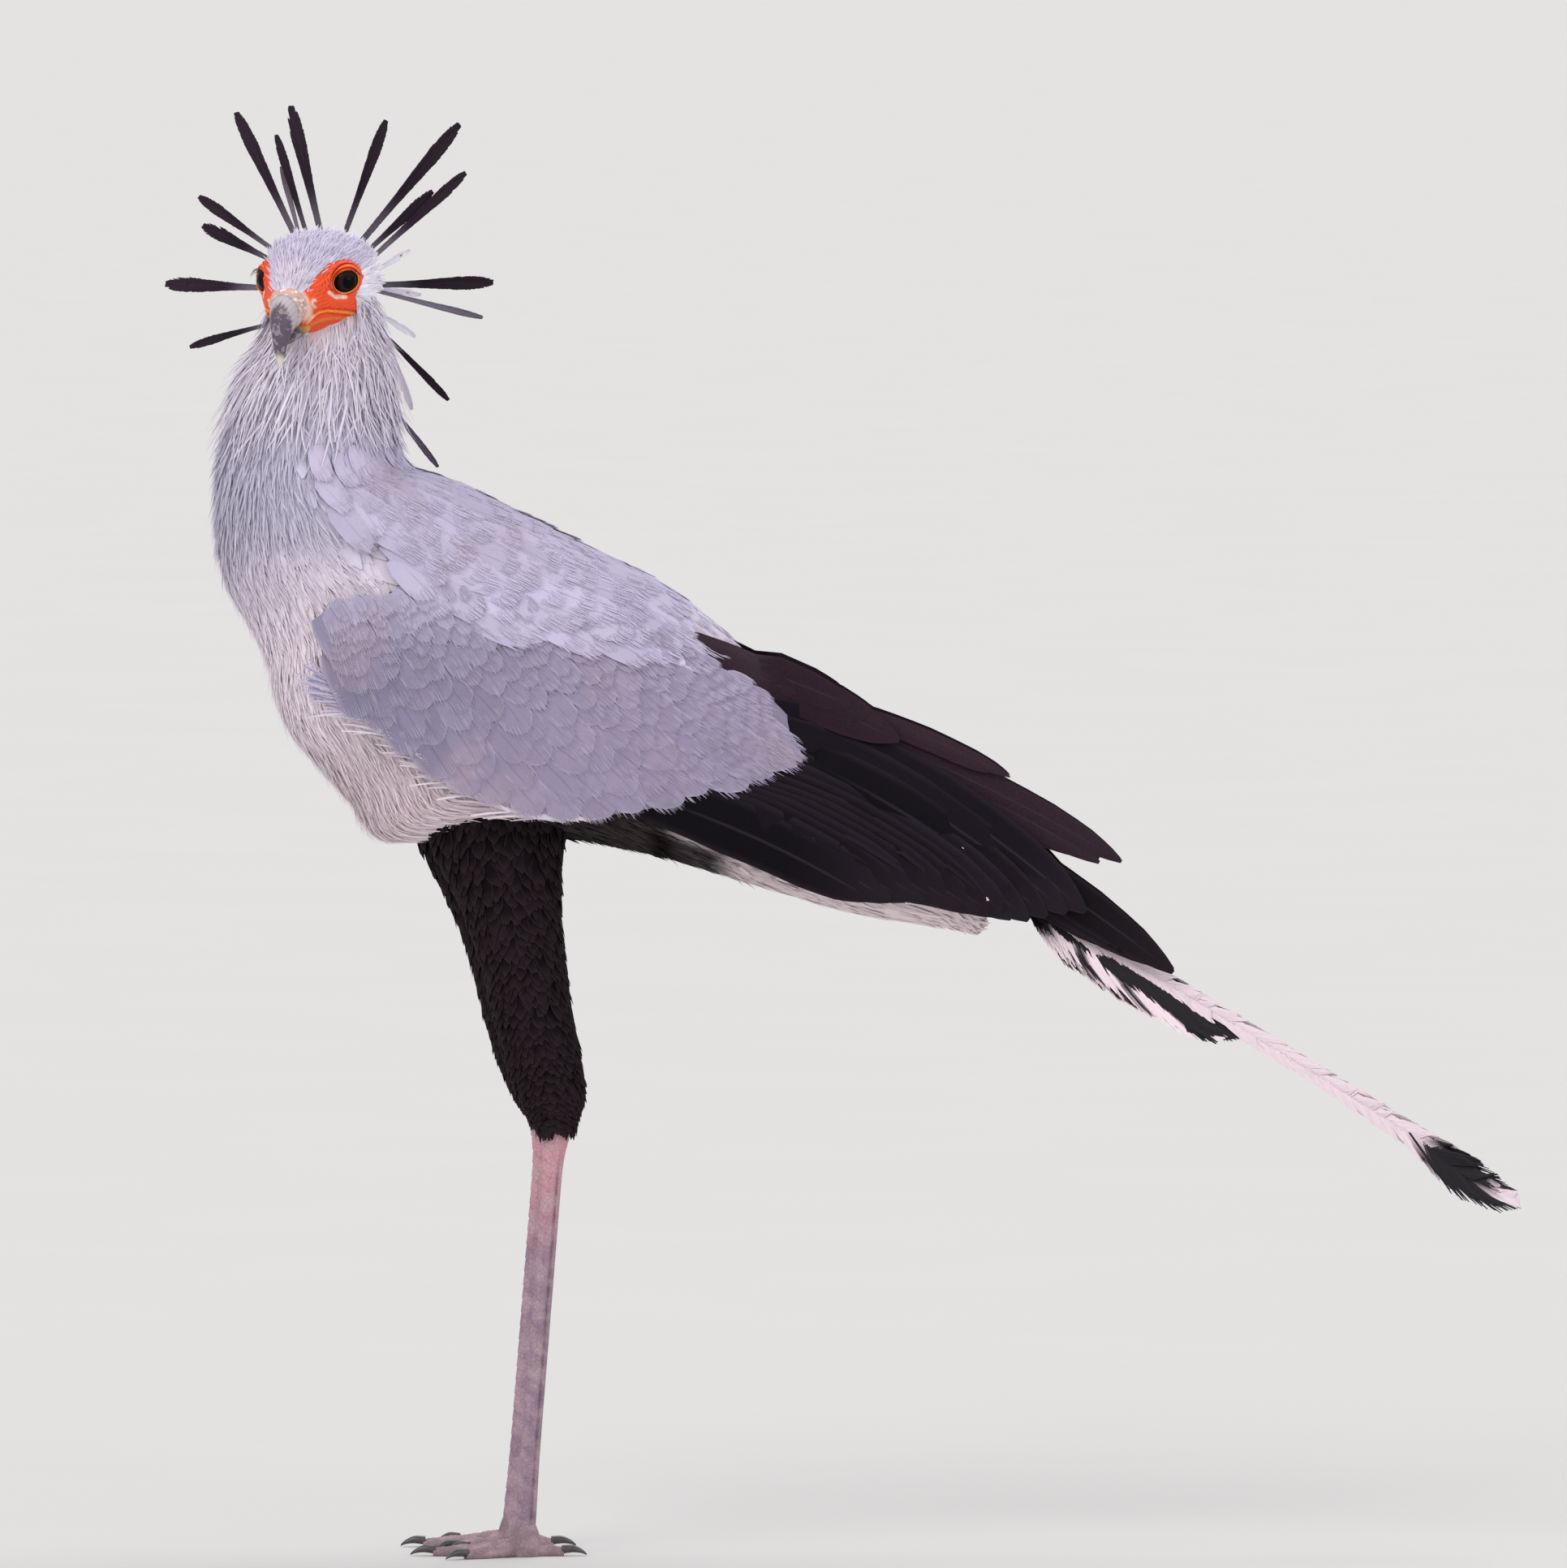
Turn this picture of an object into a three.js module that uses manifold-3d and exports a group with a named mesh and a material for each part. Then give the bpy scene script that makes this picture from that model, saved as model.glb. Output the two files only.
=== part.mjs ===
// A secretary bird standing still, life size. Millimetres, +Z up. The bird faces -X, its left side is
// towards -Y, and it looks round to its left. The finished group stands centred on the floor.

import * as THREE from 'three';
import { mergeVertices } from 'three/addons/utils/BufferGeometryUtils.js';
import Module from 'manifold-3d';

const wasm = await Module();
wasm.setup();

// Driving dimensions, measured from the floor below the feet
const GAP = 0.3; // clearance between two nodes that meet
const LEG_SPACING = 72; // between the two legs, across the bird
const HEEL = { x: 25, z: 328 }; // where the thigh feathers end and the bare shank begins
const ANKLE = { x: -2, z: 23 }; // where the shank meets the foot
const FAR_LEG_LEAD = 9; // how far the right leg stands ahead of the left
const HEAD = { x: -160, y: -4, z: 976, turn: 22, nod: 24 }; // centre of the skull, its turn in degrees
const NECK_BASE = 5; // section of the body at which the neck begins
const TORSO_END = 18; // section at which the tail coverts begin
const SEAM = 0.015; // share of a section by which the body's lengths stop short of each other

// Sections of the body, head to tail: front or belly x and z, back x and z, half width
const SECTIONS = [
  [-186, 985, -132, 985, 22],
  [-198, 958, -113, 958, 37],
  [-203, 928, -109, 928, 40],
  [-216, 905, -104, 907, 43],
  [-228, 874, -101, 877, 46],
  [-236, 840, -98, 849, 51],
  [-238, 809, -89, 830, 58],
  [-237, 775, -65, 822, 68],
  [-231, 741, -36, 810, 76],
  [-214, 711, -6, 794, 82],
  [-200, 682, 22, 781, 85],
  [-193, 654, 48, 768, 86],
  [-181, 626, 74, 755, 86],
  [-158, 600, 100, 742, 85],
  [-135, 574, 124, 725, 85],
  [-112, 546, 146, 707, 84],
  [-56, 549, 170, 685, 82],
  [6, 549, 195, 660, 78],
  [62, 542, 217, 611, 68],
  [124, 527, 248, 577, 52],
  [186, 508, 286, 556, 40],
  [248, 490, 322, 547, 33],
  [310, 480, 358, 532, 27],
  [336, 475, 380, 522, 21],
];

// Small helpers on numbers and vectors
const radians = (degrees) => (degrees * Math.PI) / 180;
const mix = (a, b, t) => a + (b - a) * t;
const clamp = (value, low, high) => Math.min(Math.max(value, low), high);
const vec = (x, y, z) => new THREE.Vector3(x, y, z);

// Repeatable variation from 0 to 1, so that every build gives the same feathers
const SPREAD = { factor: 16807, modulus: 2147483647 };
let seed = 7;

function random() {
  seed = (seed * SPREAD.factor) % SPREAD.modulus;
  return seed / SPREAD.modulus;
}

function smoothMax(a, b, softness) {
  const h = clamp(0.5 + (a - b) / (2 * softness), 0, 1);
  return mix(b, a, h) + softness * h * (1 - h);
}

// A smooth value between the rows of a table: column by column, Catmull-Rom
function rowAt(table, s) {
  const i = clamp(Math.floor(s), 0, table.length - 2);
  const t = s - i;
  const before = table[Math.max(i - 1, 0)];
  const after = table[Math.min(i + 2, table.length - 1)];
  return table[i].map((p1, k) => {
    const p0 = before[k];
    const p2 = table[i + 1][k];
    const p3 = after[k];
    const slope = 0.5 * (p2 - p0);
    const bend = p0 - 2.5 * p1 + 2 * p2 - 0.5 * p3;
    const twist = 1.5 * (p1 - p2) + 0.5 * (p3 - p0);
    return p1 + t * (slope + t * (bend + t * twist));
  });
}

// A point along a line of side-view points, t from 0 to 1 by length
function lineAt(points, t) {
  const curve = new THREE.CatmullRomCurve3(points.map(([x, z]) => vec(x, 0, z)), false, 'centripetal');
  const p = curve.getPointAt(clamp(t, 0, 1));
  return [p.x, p.z];
}

// Closed solids from points and triangles
function solidFrom(points, triangles) {
  const geometry = new THREE.BufferGeometry();
  const flat = points.flatMap((p) => [p.x, p.y, p.z]);
  geometry.setAttribute('position', new THREE.Float32BufferAttribute(flat, 3));
  geometry.setIndex(triangles);
  const merged = mergeVertices(geometry, 1e-3);
  const vertices = merged.attributes.position.array;
  const index = merged.index.array;
  const kept = [];
  for (let i = 0; i < index.length; i += 3) {
    const [a, b, c] = [index[i], index[i + 1], index[i + 2]];
    if (a !== b && b !== c && c !== a) kept.push(a, b, c);
  }
  if (signedVolume(vertices, kept) < 0) {
    for (let i = 0; i < kept.length; i += 3) [kept[i + 1], kept[i + 2]] = [kept[i + 2], kept[i + 1]];
  }
  const triVerts = new Uint32Array(kept);
  return new wasm.Manifold(new wasm.Mesh({ numProp: 3, vertProperties: vertices, triVerts }));
}

function signedVolume(positions, triangles) {
  let volume = 0;
  for (let i = 0; i < triangles.length; i += 3) {
    const [a, b, c] = [0, 1, 2].map((k) => new THREE.Vector3().fromArray(positions, 3 * triangles[i + k]));
    volume += a.dot(b.cross(c)) / 6;
  }
  return volume;
}

function join(pieces) {
  return pieces.reduce((whole, piece) => whole.add(piece));
}

function cut(solid, tools) {
  return tools.reduce((rest, tool) => rest.subtract(tool), solid);
}

// The largest closed surface of a solid
function largest(solid) {
  const bodies = solid.decompose();
  return bodies.reduce((best, body) => (body.volume() > best.volume() ? body : best));
}

// The same solid on the other side of the bird
function mirrored(solid) {
  const mesh = solid.getMesh();
  const points = [];
  for (let i = 0; i < mesh.vertProperties.length; i += 3) {
    points.push(vec(mesh.vertProperties[i], -mesh.vertProperties[i + 1], mesh.vertProperties[i + 2]));
  }
  return solidFrom(points, Array.from(mesh.triVerts));
}

// Rings of points carried along a body, closed by a fan at each end
function loft(rings) {
  const sides = rings[0].length;
  const points = rings.flat();
  const triangles = [];
  for (let i = 0; i + 1 < rings.length; i += 1) {
    for (let j = 0; j < sides; j += 1) {
      const k = (j + 1) % sides;
      const [a, b] = [i * sides + j, i * sides + k];
      triangles.push(a, b, b + sides, a, b + sides, a + sides);
    }
  }
  for (const end of [0, rings.length - 1]) {
    const centre = rings[end].reduce((sum, p) => sum.add(p), vec(0, 0, 0)).divideScalar(sides);
    points.push(centre);
    for (let j = 0; j < sides; j += 1) {
      const [a, b] = [end * sides + j, end * sides + ((j + 1) % sides)];
      triangles.push(...(end === 0 ? [points.length - 1, b, a] : [points.length - 1, a, b]));
    }
  }
  return solidFrom(points, triangles);
}

// A slab between two faces, each given as rows of points; both faces are split alike
function slab(outer, inner) {
  const [rows, across] = [outer.length, outer[0].length];
  const count = rows * across;
  const triangles = [];
  for (let i = 0; i + 1 < rows; i += 1) {
    for (let j = 0; j + 1 < across; j += 1) {
      const a = i * across + j;
      const [b, c, d] = [a + across, a + across + 1, a + 1];
      triangles.push(a, b, c, a, c, d, a + count, c + count, b + count, a + count, d + count, c + count);
    }
  }
  const wall = (a, b) => triangles.push(b, a, a + count, b, a + count, b + count);
  for (let i = 0; i + 1 < rows; i += 1) {
    wall(i * across, (i + 1) * across);
    wall((i + 2) * across - 1, (i + 1) * across - 1);
  }
  const last = (rows - 1) * across;
  for (let j = 0; j + 1 < across; j += 1) {
    wall(j + 1, j);
    wall(last + j, last + j + 1);
  }
  return solidFrom([...outer.flat(), ...inner.flat()], triangles);
}

// A thin sheet: rows of points with one normal each, given a thickness
function sheet(rows, thickness) {
  const half = thickness / 2;
  const face = (side) => rows.map((row) => row.map(({ p, n }) => p.clone().addScaledVector(n, side * half)));
  return slab(face(1), face(-1));
}

// A ring round a centre: half sizes along two directions, rounder or squarer by its power
function ring(centre, first, second, a, b, power, sides) {
  return Array.from({ length: sides }, (_, i) => {
    const angle = (2 * Math.PI * i) / sides;
    const bulge = (value) => Math.sign(value) * Math.abs(value) ** (2 / power);
    return centre.clone()
      .addScaledVector(first, a * bulge(Math.cos(angle)))
      .addScaledVector(second, b * bulge(Math.sin(angle)));
  });
}

// The body as one form, from which the neck, the torso and the tail coverts are taken
const BODY_SIDES = 20;
const BODY_POWER = 2.3;
const STATIONS = [0, 1, 2, 3, 4, 5, 6.5, 8, 9.5, 11, 12.5, 14, 16, 17, 18, 19.5, 21, 22, 23];

function bodyRing(s, grow) {
  const [x0, z0, x1, z1, half] = rowAt(SECTIONS, s);
  const up = vec(x1 - x0, 0, z1 - z0);
  const height = up.length() / 2;
  const centre = vec((x0 + x1) / 2, 0, (z0 + z1) / 2);
  return ring(centre, vec(0, -1, 0), up.normalize(), half + grow, height + grow, BODY_POWER, BODY_SIDES);
}

function bodyStretch(from, to, grow = 0) {
  const between = STATIONS.filter((s) => s > from + 0.1 && s < to - 0.1);
  return loft([from, ...between, to].map((s) => bodyRing(s, grow)));
}

// Half width that a folded wing lies against at a point of the side view: the body's own above its middle,
// hanging almost straight down below it, and zero past its outline
const FINE = Array.from({ length: 20 * (SECTIONS.length - 1) + 1 }, (_, i) => rowAt(SECTIONS, i / 20));

function bodyHalfWidth(x, z) {
  const side = ([x0, z0, x1, z1]) => (x1 - x0) * (z - z0) - (z1 - z0) * (x - x0);
  for (let i = 40; i + 1 < FINE.length; i += 1) {
    const [here, next] = [side(FINE[i]), side(FINE[i + 1])];
    if (here <= 0 && next > 0) {
      const row = FINE[i].map((value, k) => mix(value, FINE[i + 1][k], here / (here - next)));
      const [x0, z0, x1, z1, half] = row;
      const t = ((x - x0) * (x1 - x0) + (z - z0) * (z1 - z0)) / ((x1 - x0) ** 2 + (z1 - z0) ** 2);
      const q = Math.abs(2 * t - 1);
      if (t < 0.5) return half * Math.max(1 - WING.tuck * q * q, 0.3);
      if (q < 1) return half * (1 - q ** BODY_POWER) ** (1 / BODY_POWER);
    }
  }
  return 0;
}

// The head in its own directions: forward, left and up
const TURN = radians(HEAD.turn);
const NOD = radians(HEAD.nod);
const FORWARD = vec(-Math.sin(TURN) * Math.cos(NOD), -Math.cos(TURN) * Math.cos(NOD), -Math.sin(NOD));
const LEFT = vec(Math.cos(TURN), -Math.sin(TURN), 0);
const UP = vec(-Math.sin(TURN) * Math.sin(NOD), -Math.cos(TURN) * Math.sin(NOD), Math.cos(NOD));

function inHead(forward, left, up) {
  return vec(HEAD.x, HEAD.y, HEAD.z)
    .addScaledVector(FORWARD, forward)
    .addScaledVector(LEFT, left)
    .addScaledVector(UP, up);
}

// Skull sections, nape to bill: forward, half width, top, bottom
const SKULL = [
  [-46, 8, 0, -10],
  [-42, 22, 10, -18],
  [-33, 35, 21, -30],
  [-20, 42, 29, -38],
  [-5, 44, 33, -42],
  [10, 42, 34, -42],
  [22, 38, 32, -39],
  [32, 33, 28.5, -35],
  [42, 26, 24, -30],
  [50, 19.5, 20.5, -25.5],
  [57, 14, 16.5, -21.5],
];
const SKULL_SIDES = 20;

function skull(grow = 0) {
  return loft(SKULL.map(([forward, half, top, bottom]) => {
    const centre = inHead(forward, 0, (top + bottom) / 2);
    return ring(centre, LEFT, UP, half + grow, (top - bottom) / 2 + grow, 2.15, SKULL_SIDES);
  }));
}

// Eyes: a ball set in its socket, with the lid as a raised rim round it
const EYE = { forward: 23.8, left: 36.6, up: 7.2, radius: 11.5, depth: 9.4, lidRadius: 9.6, lidTube: 2.2 };

function eyeDirection(side) {
  return vec(0, 0, 0)
    .addScaledVector(FORWARD, 0.68)
    .addScaledVector(LEFT, 0.7 * side)
    .addScaledVector(UP, 0.15)
    .normalize();
}

function eyeFront(side) {
  return inHead(EYE.forward, EYE.left * side, EYE.up);
}

function turnedTo(geometry, direction, centre) {
  const turn = new THREE.Quaternion().setFromUnitVectors(vec(0, 0, 1), direction);
  geometry.applyQuaternion(turn);
  geometry.translate(centre.x, centre.y, centre.z);
  return geometry;
}

function fromGeometry(geometry) {
  const { array, count } = geometry.attributes.position;
  const points = Array.from({ length: count }, (_, i) => new THREE.Vector3().fromArray(array, 3 * i));
  const triangles = geometry.index ? Array.from(geometry.index.array) : points.map((_, i) => i);
  return solidFrom(points, triangles);
}

function eyeball(side, grow = 0) {
  const direction = eyeDirection(side);
  const centre = eyeFront(side).addScaledVector(direction, -EYE.depth);
  return fromGeometry(turnedTo(new THREE.SphereGeometry(EYE.radius + grow, 14, 8), direction, centre));
}

function lid(side) {
  const direction = eyeDirection(side);
  const centre = eyeFront(side).addScaledVector(direction, -1.2);
  const rim = new THREE.TorusGeometry(EYE.lidRadius, EYE.lidTube, 5, 12);
  return fromGeometry(turnedTo(rim, direction, centre));
}

// A round, tapered cord along a few points, used for brows, lips and claws
function tapered(points, radii, sides, steps) {
  const curve = new THREE.CatmullRomCurve3(points);
  const rings = Array.from({ length: steps + 1 }, (_, i) => {
    const t = i / steps;
    const along = curve.getTangentAt(t);
    const first = Math.abs(along.z) > 0.9 ? vec(0, 1, 0) : vec(0, 0, 1);
    const across = first.clone().cross(along).normalize();
    const radius = rowAt(radii.map((r) => [r]), t * (radii.length - 1))[0];
    return ring(curve.getPointAt(t), across, along.clone().cross(across), radius, radius, 2, sides);
  });
  return loft(rings);
}

function brow(side) {
  const points = [[43, 22, 13], [33, 31, 18], [21, 37.5, 19], [9, 41, 13]];
  return tapered(points.map(([f, l, u]) => inHead(f, l * side, u)), [2, 3.6, 3.6, 1.5], 6, 5);
}

function lip(side) {
  const points = [[55, 13, -10.5], [46, 22, -12], [34, 30, -16.5], [20, 35, -22]];
  return tapered(points.map(([f, l, u]) => inHead(f, l * side, u)), [2.2, 2.2, 2, 1.4], 6, 4);
}

// Bill sections along its curve: top of the ridge forward and up, cutting edge forward and up, half width
const BILL = [
  [57.3, 16.2, 57.3, -11, 13.5],
  [61.5, 16.2, 61, -11.4, 13.3],
  [66, 15, 65, -12, 12],
  [74.5, 10.5, 71.5, -13.5, 10],
  [81.5, 3.5, 77, -16, 8],
  [86.5, -6, 81, -19.5, 6],
  [89.8, -17, 85, -25, 4],
  [91.3, -27, 88.5, -30, 2],
  [91.4, -34, 90.6, -34, 0.6],
];
const LOWER_BILL = [
  [57.3, -11.4, 57.3, -21, 11.5],
  [64, -12.5, 64, -21, 10],
  [71, -14.2, 71, -20.8, 8],
  [76, -16.9, 76, -20.6, 5.5],
  [79.5, -19.2, 79.5, -20.4, 2.5],
];
const BILL_SIDES = 10;

function billForm(table, grow = 0) {
  return loft(table.map(([f0, u0, f1, u1, half]) => {
    const [top, edge] = [inHead(f0, 0, u0), inHead(f1, 0, u1)];
    const height = top.distanceTo(edge) / 2;
    const centre = top.clone().add(edge).multiplyScalar(0.5);
    return ring(centre, LEFT, top.sub(edge).normalize(), half + grow, height + grow, 2.2, BILL_SIDES);
  }));
}

function nostril(side) {
  const slit = new THREE.SphereGeometry(1, 10, 6);
  slit.scale(3.2, 1.8, 2.2);
  slit.applyMatrix4(new THREE.Matrix4().makeBasis(FORWARD, LEFT, UP));
  const centre = inHead(63.5, 12.6 * side, 3);
  slit.translate(centre.x, centre.y, centre.z);
  return fromGeometry(slit);
}

// Crest plumes as seen from the front left, from the centre of the skull: root x and z, tip x and z, width
const HEAD_PLUMES = [
  [-47, -9, -118, -7, 12],
  [-44, 16, -89, 38, 11],
  [-40, 24, -92, 60, 9],
  [-17, 29, -64, 124, 10],
  [-9, 32, -33, 107, 7],
  [-14, 29, -29, 83, 5],
  [2, 32, -22, 129, 11],
  [20, 31, 51, 118, 9],
  [33, 26, 107, 115, 11],
  [39, 20, 87, 64, 9],
  [45, 17, 112, 78, 9],
  [46, 5, 70, 19, 5],
  [46, -7, 133, -6, 11],
  [46, -10, 78, -15, 5],
  [46, -12, 125, -33, 5],
];
const NECK_PLUMES = [
  [-43, -38, -99, -51, 6],
  [48, -29, 74, -43, 5],
  [49, -43, 99, -92, 6],
  [53, -50, 71, -99, 5],
  [55, -99, 91, -143, 5],
];
const PLUME = { sunk: 20, sweep: 0.42, thickness: 1, steps: 4 };

// A vane with a raised shaft: stations along it, a width at each, and the direction across
function vane(points, across, widths, thickness, ridge, columns = [-1, 0, 1]) {
  const rows = points.map((p, i) => {
    const [last, next] = [points[Math.max(i - 1, 0)], points[Math.min(i + 1, points.length - 1)]];
    const along = next.clone().sub(last).normalize();
    const normal = across.clone().cross(along).normalize();
    const flat = along.clone().cross(normal).normalize();
    return columns.map((k) => ({
      p: p.clone().addScaledVector(flat, (k * widths[i]) / 2).addScaledVector(normal, k === 0 ? ridge : 0),
      n: normal,
    }));
  });
  return sheet(rows, thickness);
}

// Width of a plume along its length, as shares of its widest: slim at the root, widest near the tip
const PLUME_SHAPE = [0.34, 0.4, 0.7, 1, 0.45];

function plume([rootX, rootZ, tipX, tipZ, width], rootY, droop, grow = 0) {
  const reach = Math.hypot(tipX - rootX, tipZ - rootZ);
  const [dx, dz] = [(tipX - rootX) / reach, (tipZ - rootZ) / reach];
  const start = vec(HEAD.x + rootX - PLUME.sunk * dx, rootY, HEAD.z + rootZ - PLUME.sunk * dz);
  const length = reach + PLUME.sunk;
  const points = Array.from({ length: PLUME.steps + 1 }, (_, i) => {
    const t = i / PLUME.steps;
    const swept = PLUME.sweep * length * t ** 1.2;
    return start.clone().add(vec(dx * length * t, swept, dz * length * t - droop * t * t));
  });
  const across = vec(-dz, -0.35, dx).normalize();
  const widths = PLUME_SHAPE.map((share) => share * width + 2 * grow);
  return vane(points, across, widths, PLUME.thickness + 2 * grow, 0, [-1, 1]);
}

function headPlume(row, grow = 0) {
  const [x, z] = [(row[0] * 26) / 46, (row[1] * 20) / 34];
  const depth = 40 * Math.sqrt(Math.max(1 - (x / 46) ** 2 - (z / 36) ** 2, 0.05));
  return plume(row, HEAD.y + depth - 8, 0, grow);
}

function headNode() {
  const trim = [1, -1].flatMap((side) => [lid(side), brow(side), lip(side)]);
  const sockets = [eyeball(1, GAP), eyeball(-1, GAP), billForm(BILL, GAP), billForm(LOWER_BILL, GAP)];
  return largest(cut(join([skull(), ...trim, ...HEAD_PLUMES.map((row) => headPlume(row))]), sockets));
}

// A point on the body: section, angle round it (0 left, 90 back, 270 front or belly), height above it
function bodySpot(s, angle, lift) {
  const [x0, z0, x1, z1, half] = rowAt(SECTIONS, s);
  const up = vec(x1 - x0, 0, z1 - z0);
  const height = up.length() / 2;
  const bulge = (value) => Math.sign(value) * Math.abs(value) ** (2 / BODY_POWER);
  return vec((x0 + x1) / 2, -(half + lift) * bulge(Math.cos(radians(angle))), (z0 + z1) / 2)
    .addScaledVector(up.normalize(), (height + lift) * bulge(Math.sin(radians(angle))));
}

// A ruff lock: a flat, pointed tuft lying down the neck, its tip standing off
function ruffLock(s, angle, { reach, width, flare }) {
  const stages = [[0, -3, 0.8, 3], [0.5, 2.4, 1, 2.6], [1, flare, 0.12, 0.8]];
  const rings = stages.map(([t, lift, share, thick]) => {
    const centre = bodySpot(s + reach * t, angle, lift);
    const [side, out] = [bodySpot(s + reach * t, angle + 2, lift), bodySpot(s + reach * t, angle, lift + 1)];
    const across = side.sub(centre).normalize();
    return ring(centre, across, out.sub(centre).normalize(), (width * share) / 2, thick / 2, 2, 4);
  });
  return loft(rings);
}

const RUFF = { rows: [1.7, 2.7, 3.6], round: 8, reach: 1.25, width: 21, flare: 8 };

function ruff() {
  return RUFF.rows.flatMap((s, row) => Array.from({ length: RUFF.round }, (_, i) => {
    const angle = (360 * (i + (row % 2) / 2)) / RUFF.round + 12 * (random() - 0.5);
    const reach = RUFF.reach * mix(0.85, 1.15, random());
    return ruffLock(s, angle, { reach, width: RUFF.width, flare: RUFF.flare * mix(0.6, 1.3, random()) });
  }));
}

function neckNode() {
  const plumes = NECK_PLUMES.map((row) => plume(row, 14, 4));
  const pieces = [bodyStretch(0, NECK_BASE - SEAM), ...ruff(), ...plumes];
  const passing = HEAD_PLUMES.map((row) => headPlume(row, 1.6 * GAP));
  const face = [skull(1.3 * GAP), billForm(LOWER_BILL, 1), billForm(BILL, 1), lip(1), lip(-1)];
  return largest(cut(join(pieces), [...face, ...passing]));
}

// Side-view lines of the folded wing, in x and z: the covert panel, then the flight feathers behind it
const WING_TOP = [[-146, 700], [-138, 716], [-123, 724], [-94, 728], [-50, 733], [-18, 733], [31, 718],
  [73, 704], [117, 697], [161, 668], [188, 654], [216, 622]];
const WING_LOW = [[-149, 694], [-147, 676], [-135, 652], [-84, 616], [-60, 598], [-18, 575], [27, 564],
  [92, 570], [139, 586], [188, 594], [215, 612]];
const WING = { tuck: 0.16, stand: 9, soft: 40, thickness: 15, edge: 2.6 };
const ROOF = { x: 143, z: 725, fall: 0.63, halfWidth: 33, tipX: 456, tipHalfWidth: 21, slope: 0.18 };

// Distance of the folded wing's outer face from the middle plane, at a point of the side view
function wingFace(x, z) {
  const t = (x - ROOF.x) / (ROOF.tipX - ROOF.x);
  const ridge = mix(ROOF.halfWidth, ROOF.tipHalfWidth, Math.min(t, 1));
  const roof = ridge + ROOF.slope * (ROOF.z - ROOF.fall * (x - ROOF.x) - z);
  return smoothMax(bodyHalfWidth(x, z) + WING.stand, Math.max(roof, 5), WING.soft);
}

// The covert panel: a slab on the wing's face between its two side-view lines, on the left of the bird
const PANEL = { steps: 10, rows: 4 };

function wingPanel() {
  const rounded = (v) => (1 - Math.abs(2 * v - 1) ** 2.5) ** 0.5;
  const face = (depth) => Array.from({ length: PANEL.steps + 1 }, (_, i) => {
    const [low, top] = [lineAt(WING_LOW, i / PANEL.steps), lineAt(WING_TOP, i / PANEL.steps)];
    return Array.from({ length: PANEL.rows + 1 }, (__, j) => {
      const v = j / PANEL.rows;
      const [x, z] = [mix(low[0], top[0], v), mix(low[1], top[1], v)];
      return vec(x, -(wingFace(x, z) + depth(rounded(v))), z);
    });
  });
  const outer = face((bulge) => bulge);
  const inner = face((bulge) => -mix(WING.edge, WING.thickness, bulge));
  return slab(outer, inner);
}

// A feather on the wing's face: side-view root and tip, bend in degrees, width, height above the face
function wingVane({ root, tip, bend, width, shape, lift, tilt, thickness }) {
  const [dx, dz] = [tip[0] - root[0], tip[1] - root[1]];
  const [length, heading] = [Math.hypot(dx, dz), Math.atan2(dz, dx)];
  const steps = shape.length - 1;
  const sagitta = (length * Math.tan(radians(bend) / 2)) / 2;
  const rows = shape.map((share, i) => {
    const t = i / steps;
    const rise = sagitta * 4 * t * (1 - t);
    const lean = heading + Math.atan((sagitta * 4 * (1 - 2 * t)) / length);
    const half = (width * share) / 2;
    return [-1, 1].map((k) => {
      const x = root[0] + dx * t - Math.sin(heading) * rise - Math.sin(lean) * half * k;
      const z = root[1] + dz * t + Math.cos(heading) * rise + Math.cos(lean) * half * k;
      const height = lift[0] + (lift[1] - lift[0]) * t ** 0.8 - tilt * half * k;
      return { p: vec(x, -(wingFace(x, z) + height), z), n: vec(0, -1, 0) };
    });
  });
  return sheet(rows, thickness);
}

// Coverts: two tiers of broad feathers whose tips follow the panel's lower edge
const COVERT_TIERS = [
  { count: 8, inset: -0.03, from: 0.2, to: 0.99, heading: [62, 24], length: [52, 86], width: [44, 50] },
  { count: 7, inset: 0.3, from: 0.16, to: 0.93, heading: [62, 26], length: [50, 74], width: [46, 52] },
];
const COVERT_SHAPE = [0.85, 1, 0.42];
const COVERT = { bend: 8, lift: [-1.2, 3.4], tilt: 0.05, thickness: 0.8 };

function covertVanes() {
  return COVERT_TIERS.flatMap((tier) => Array.from({ length: tier.count }, (_, i) => {
    const t = i / (tier.count - 1);
    const along = mix(tier.from, tier.to, t);
    const [low, top] = [lineAt(WING_LOW, along), lineAt(WING_TOP, along)];
    const tip = [mix(low[0], top[0], tier.inset), mix(low[1], top[1], tier.inset)];
    const heading = radians(mix(...tier.heading, t) + 5 * (random() - 0.5));
    const length = mix(...tier.length, t);
    const root = [tip[0] - length * Math.cos(heading), tip[1] + length * Math.sin(heading)];
    return wingVane({ root, tip, width: mix(...tier.width, t), shape: COVERT_SHAPE, ...COVERT });
  }));
}

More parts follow.
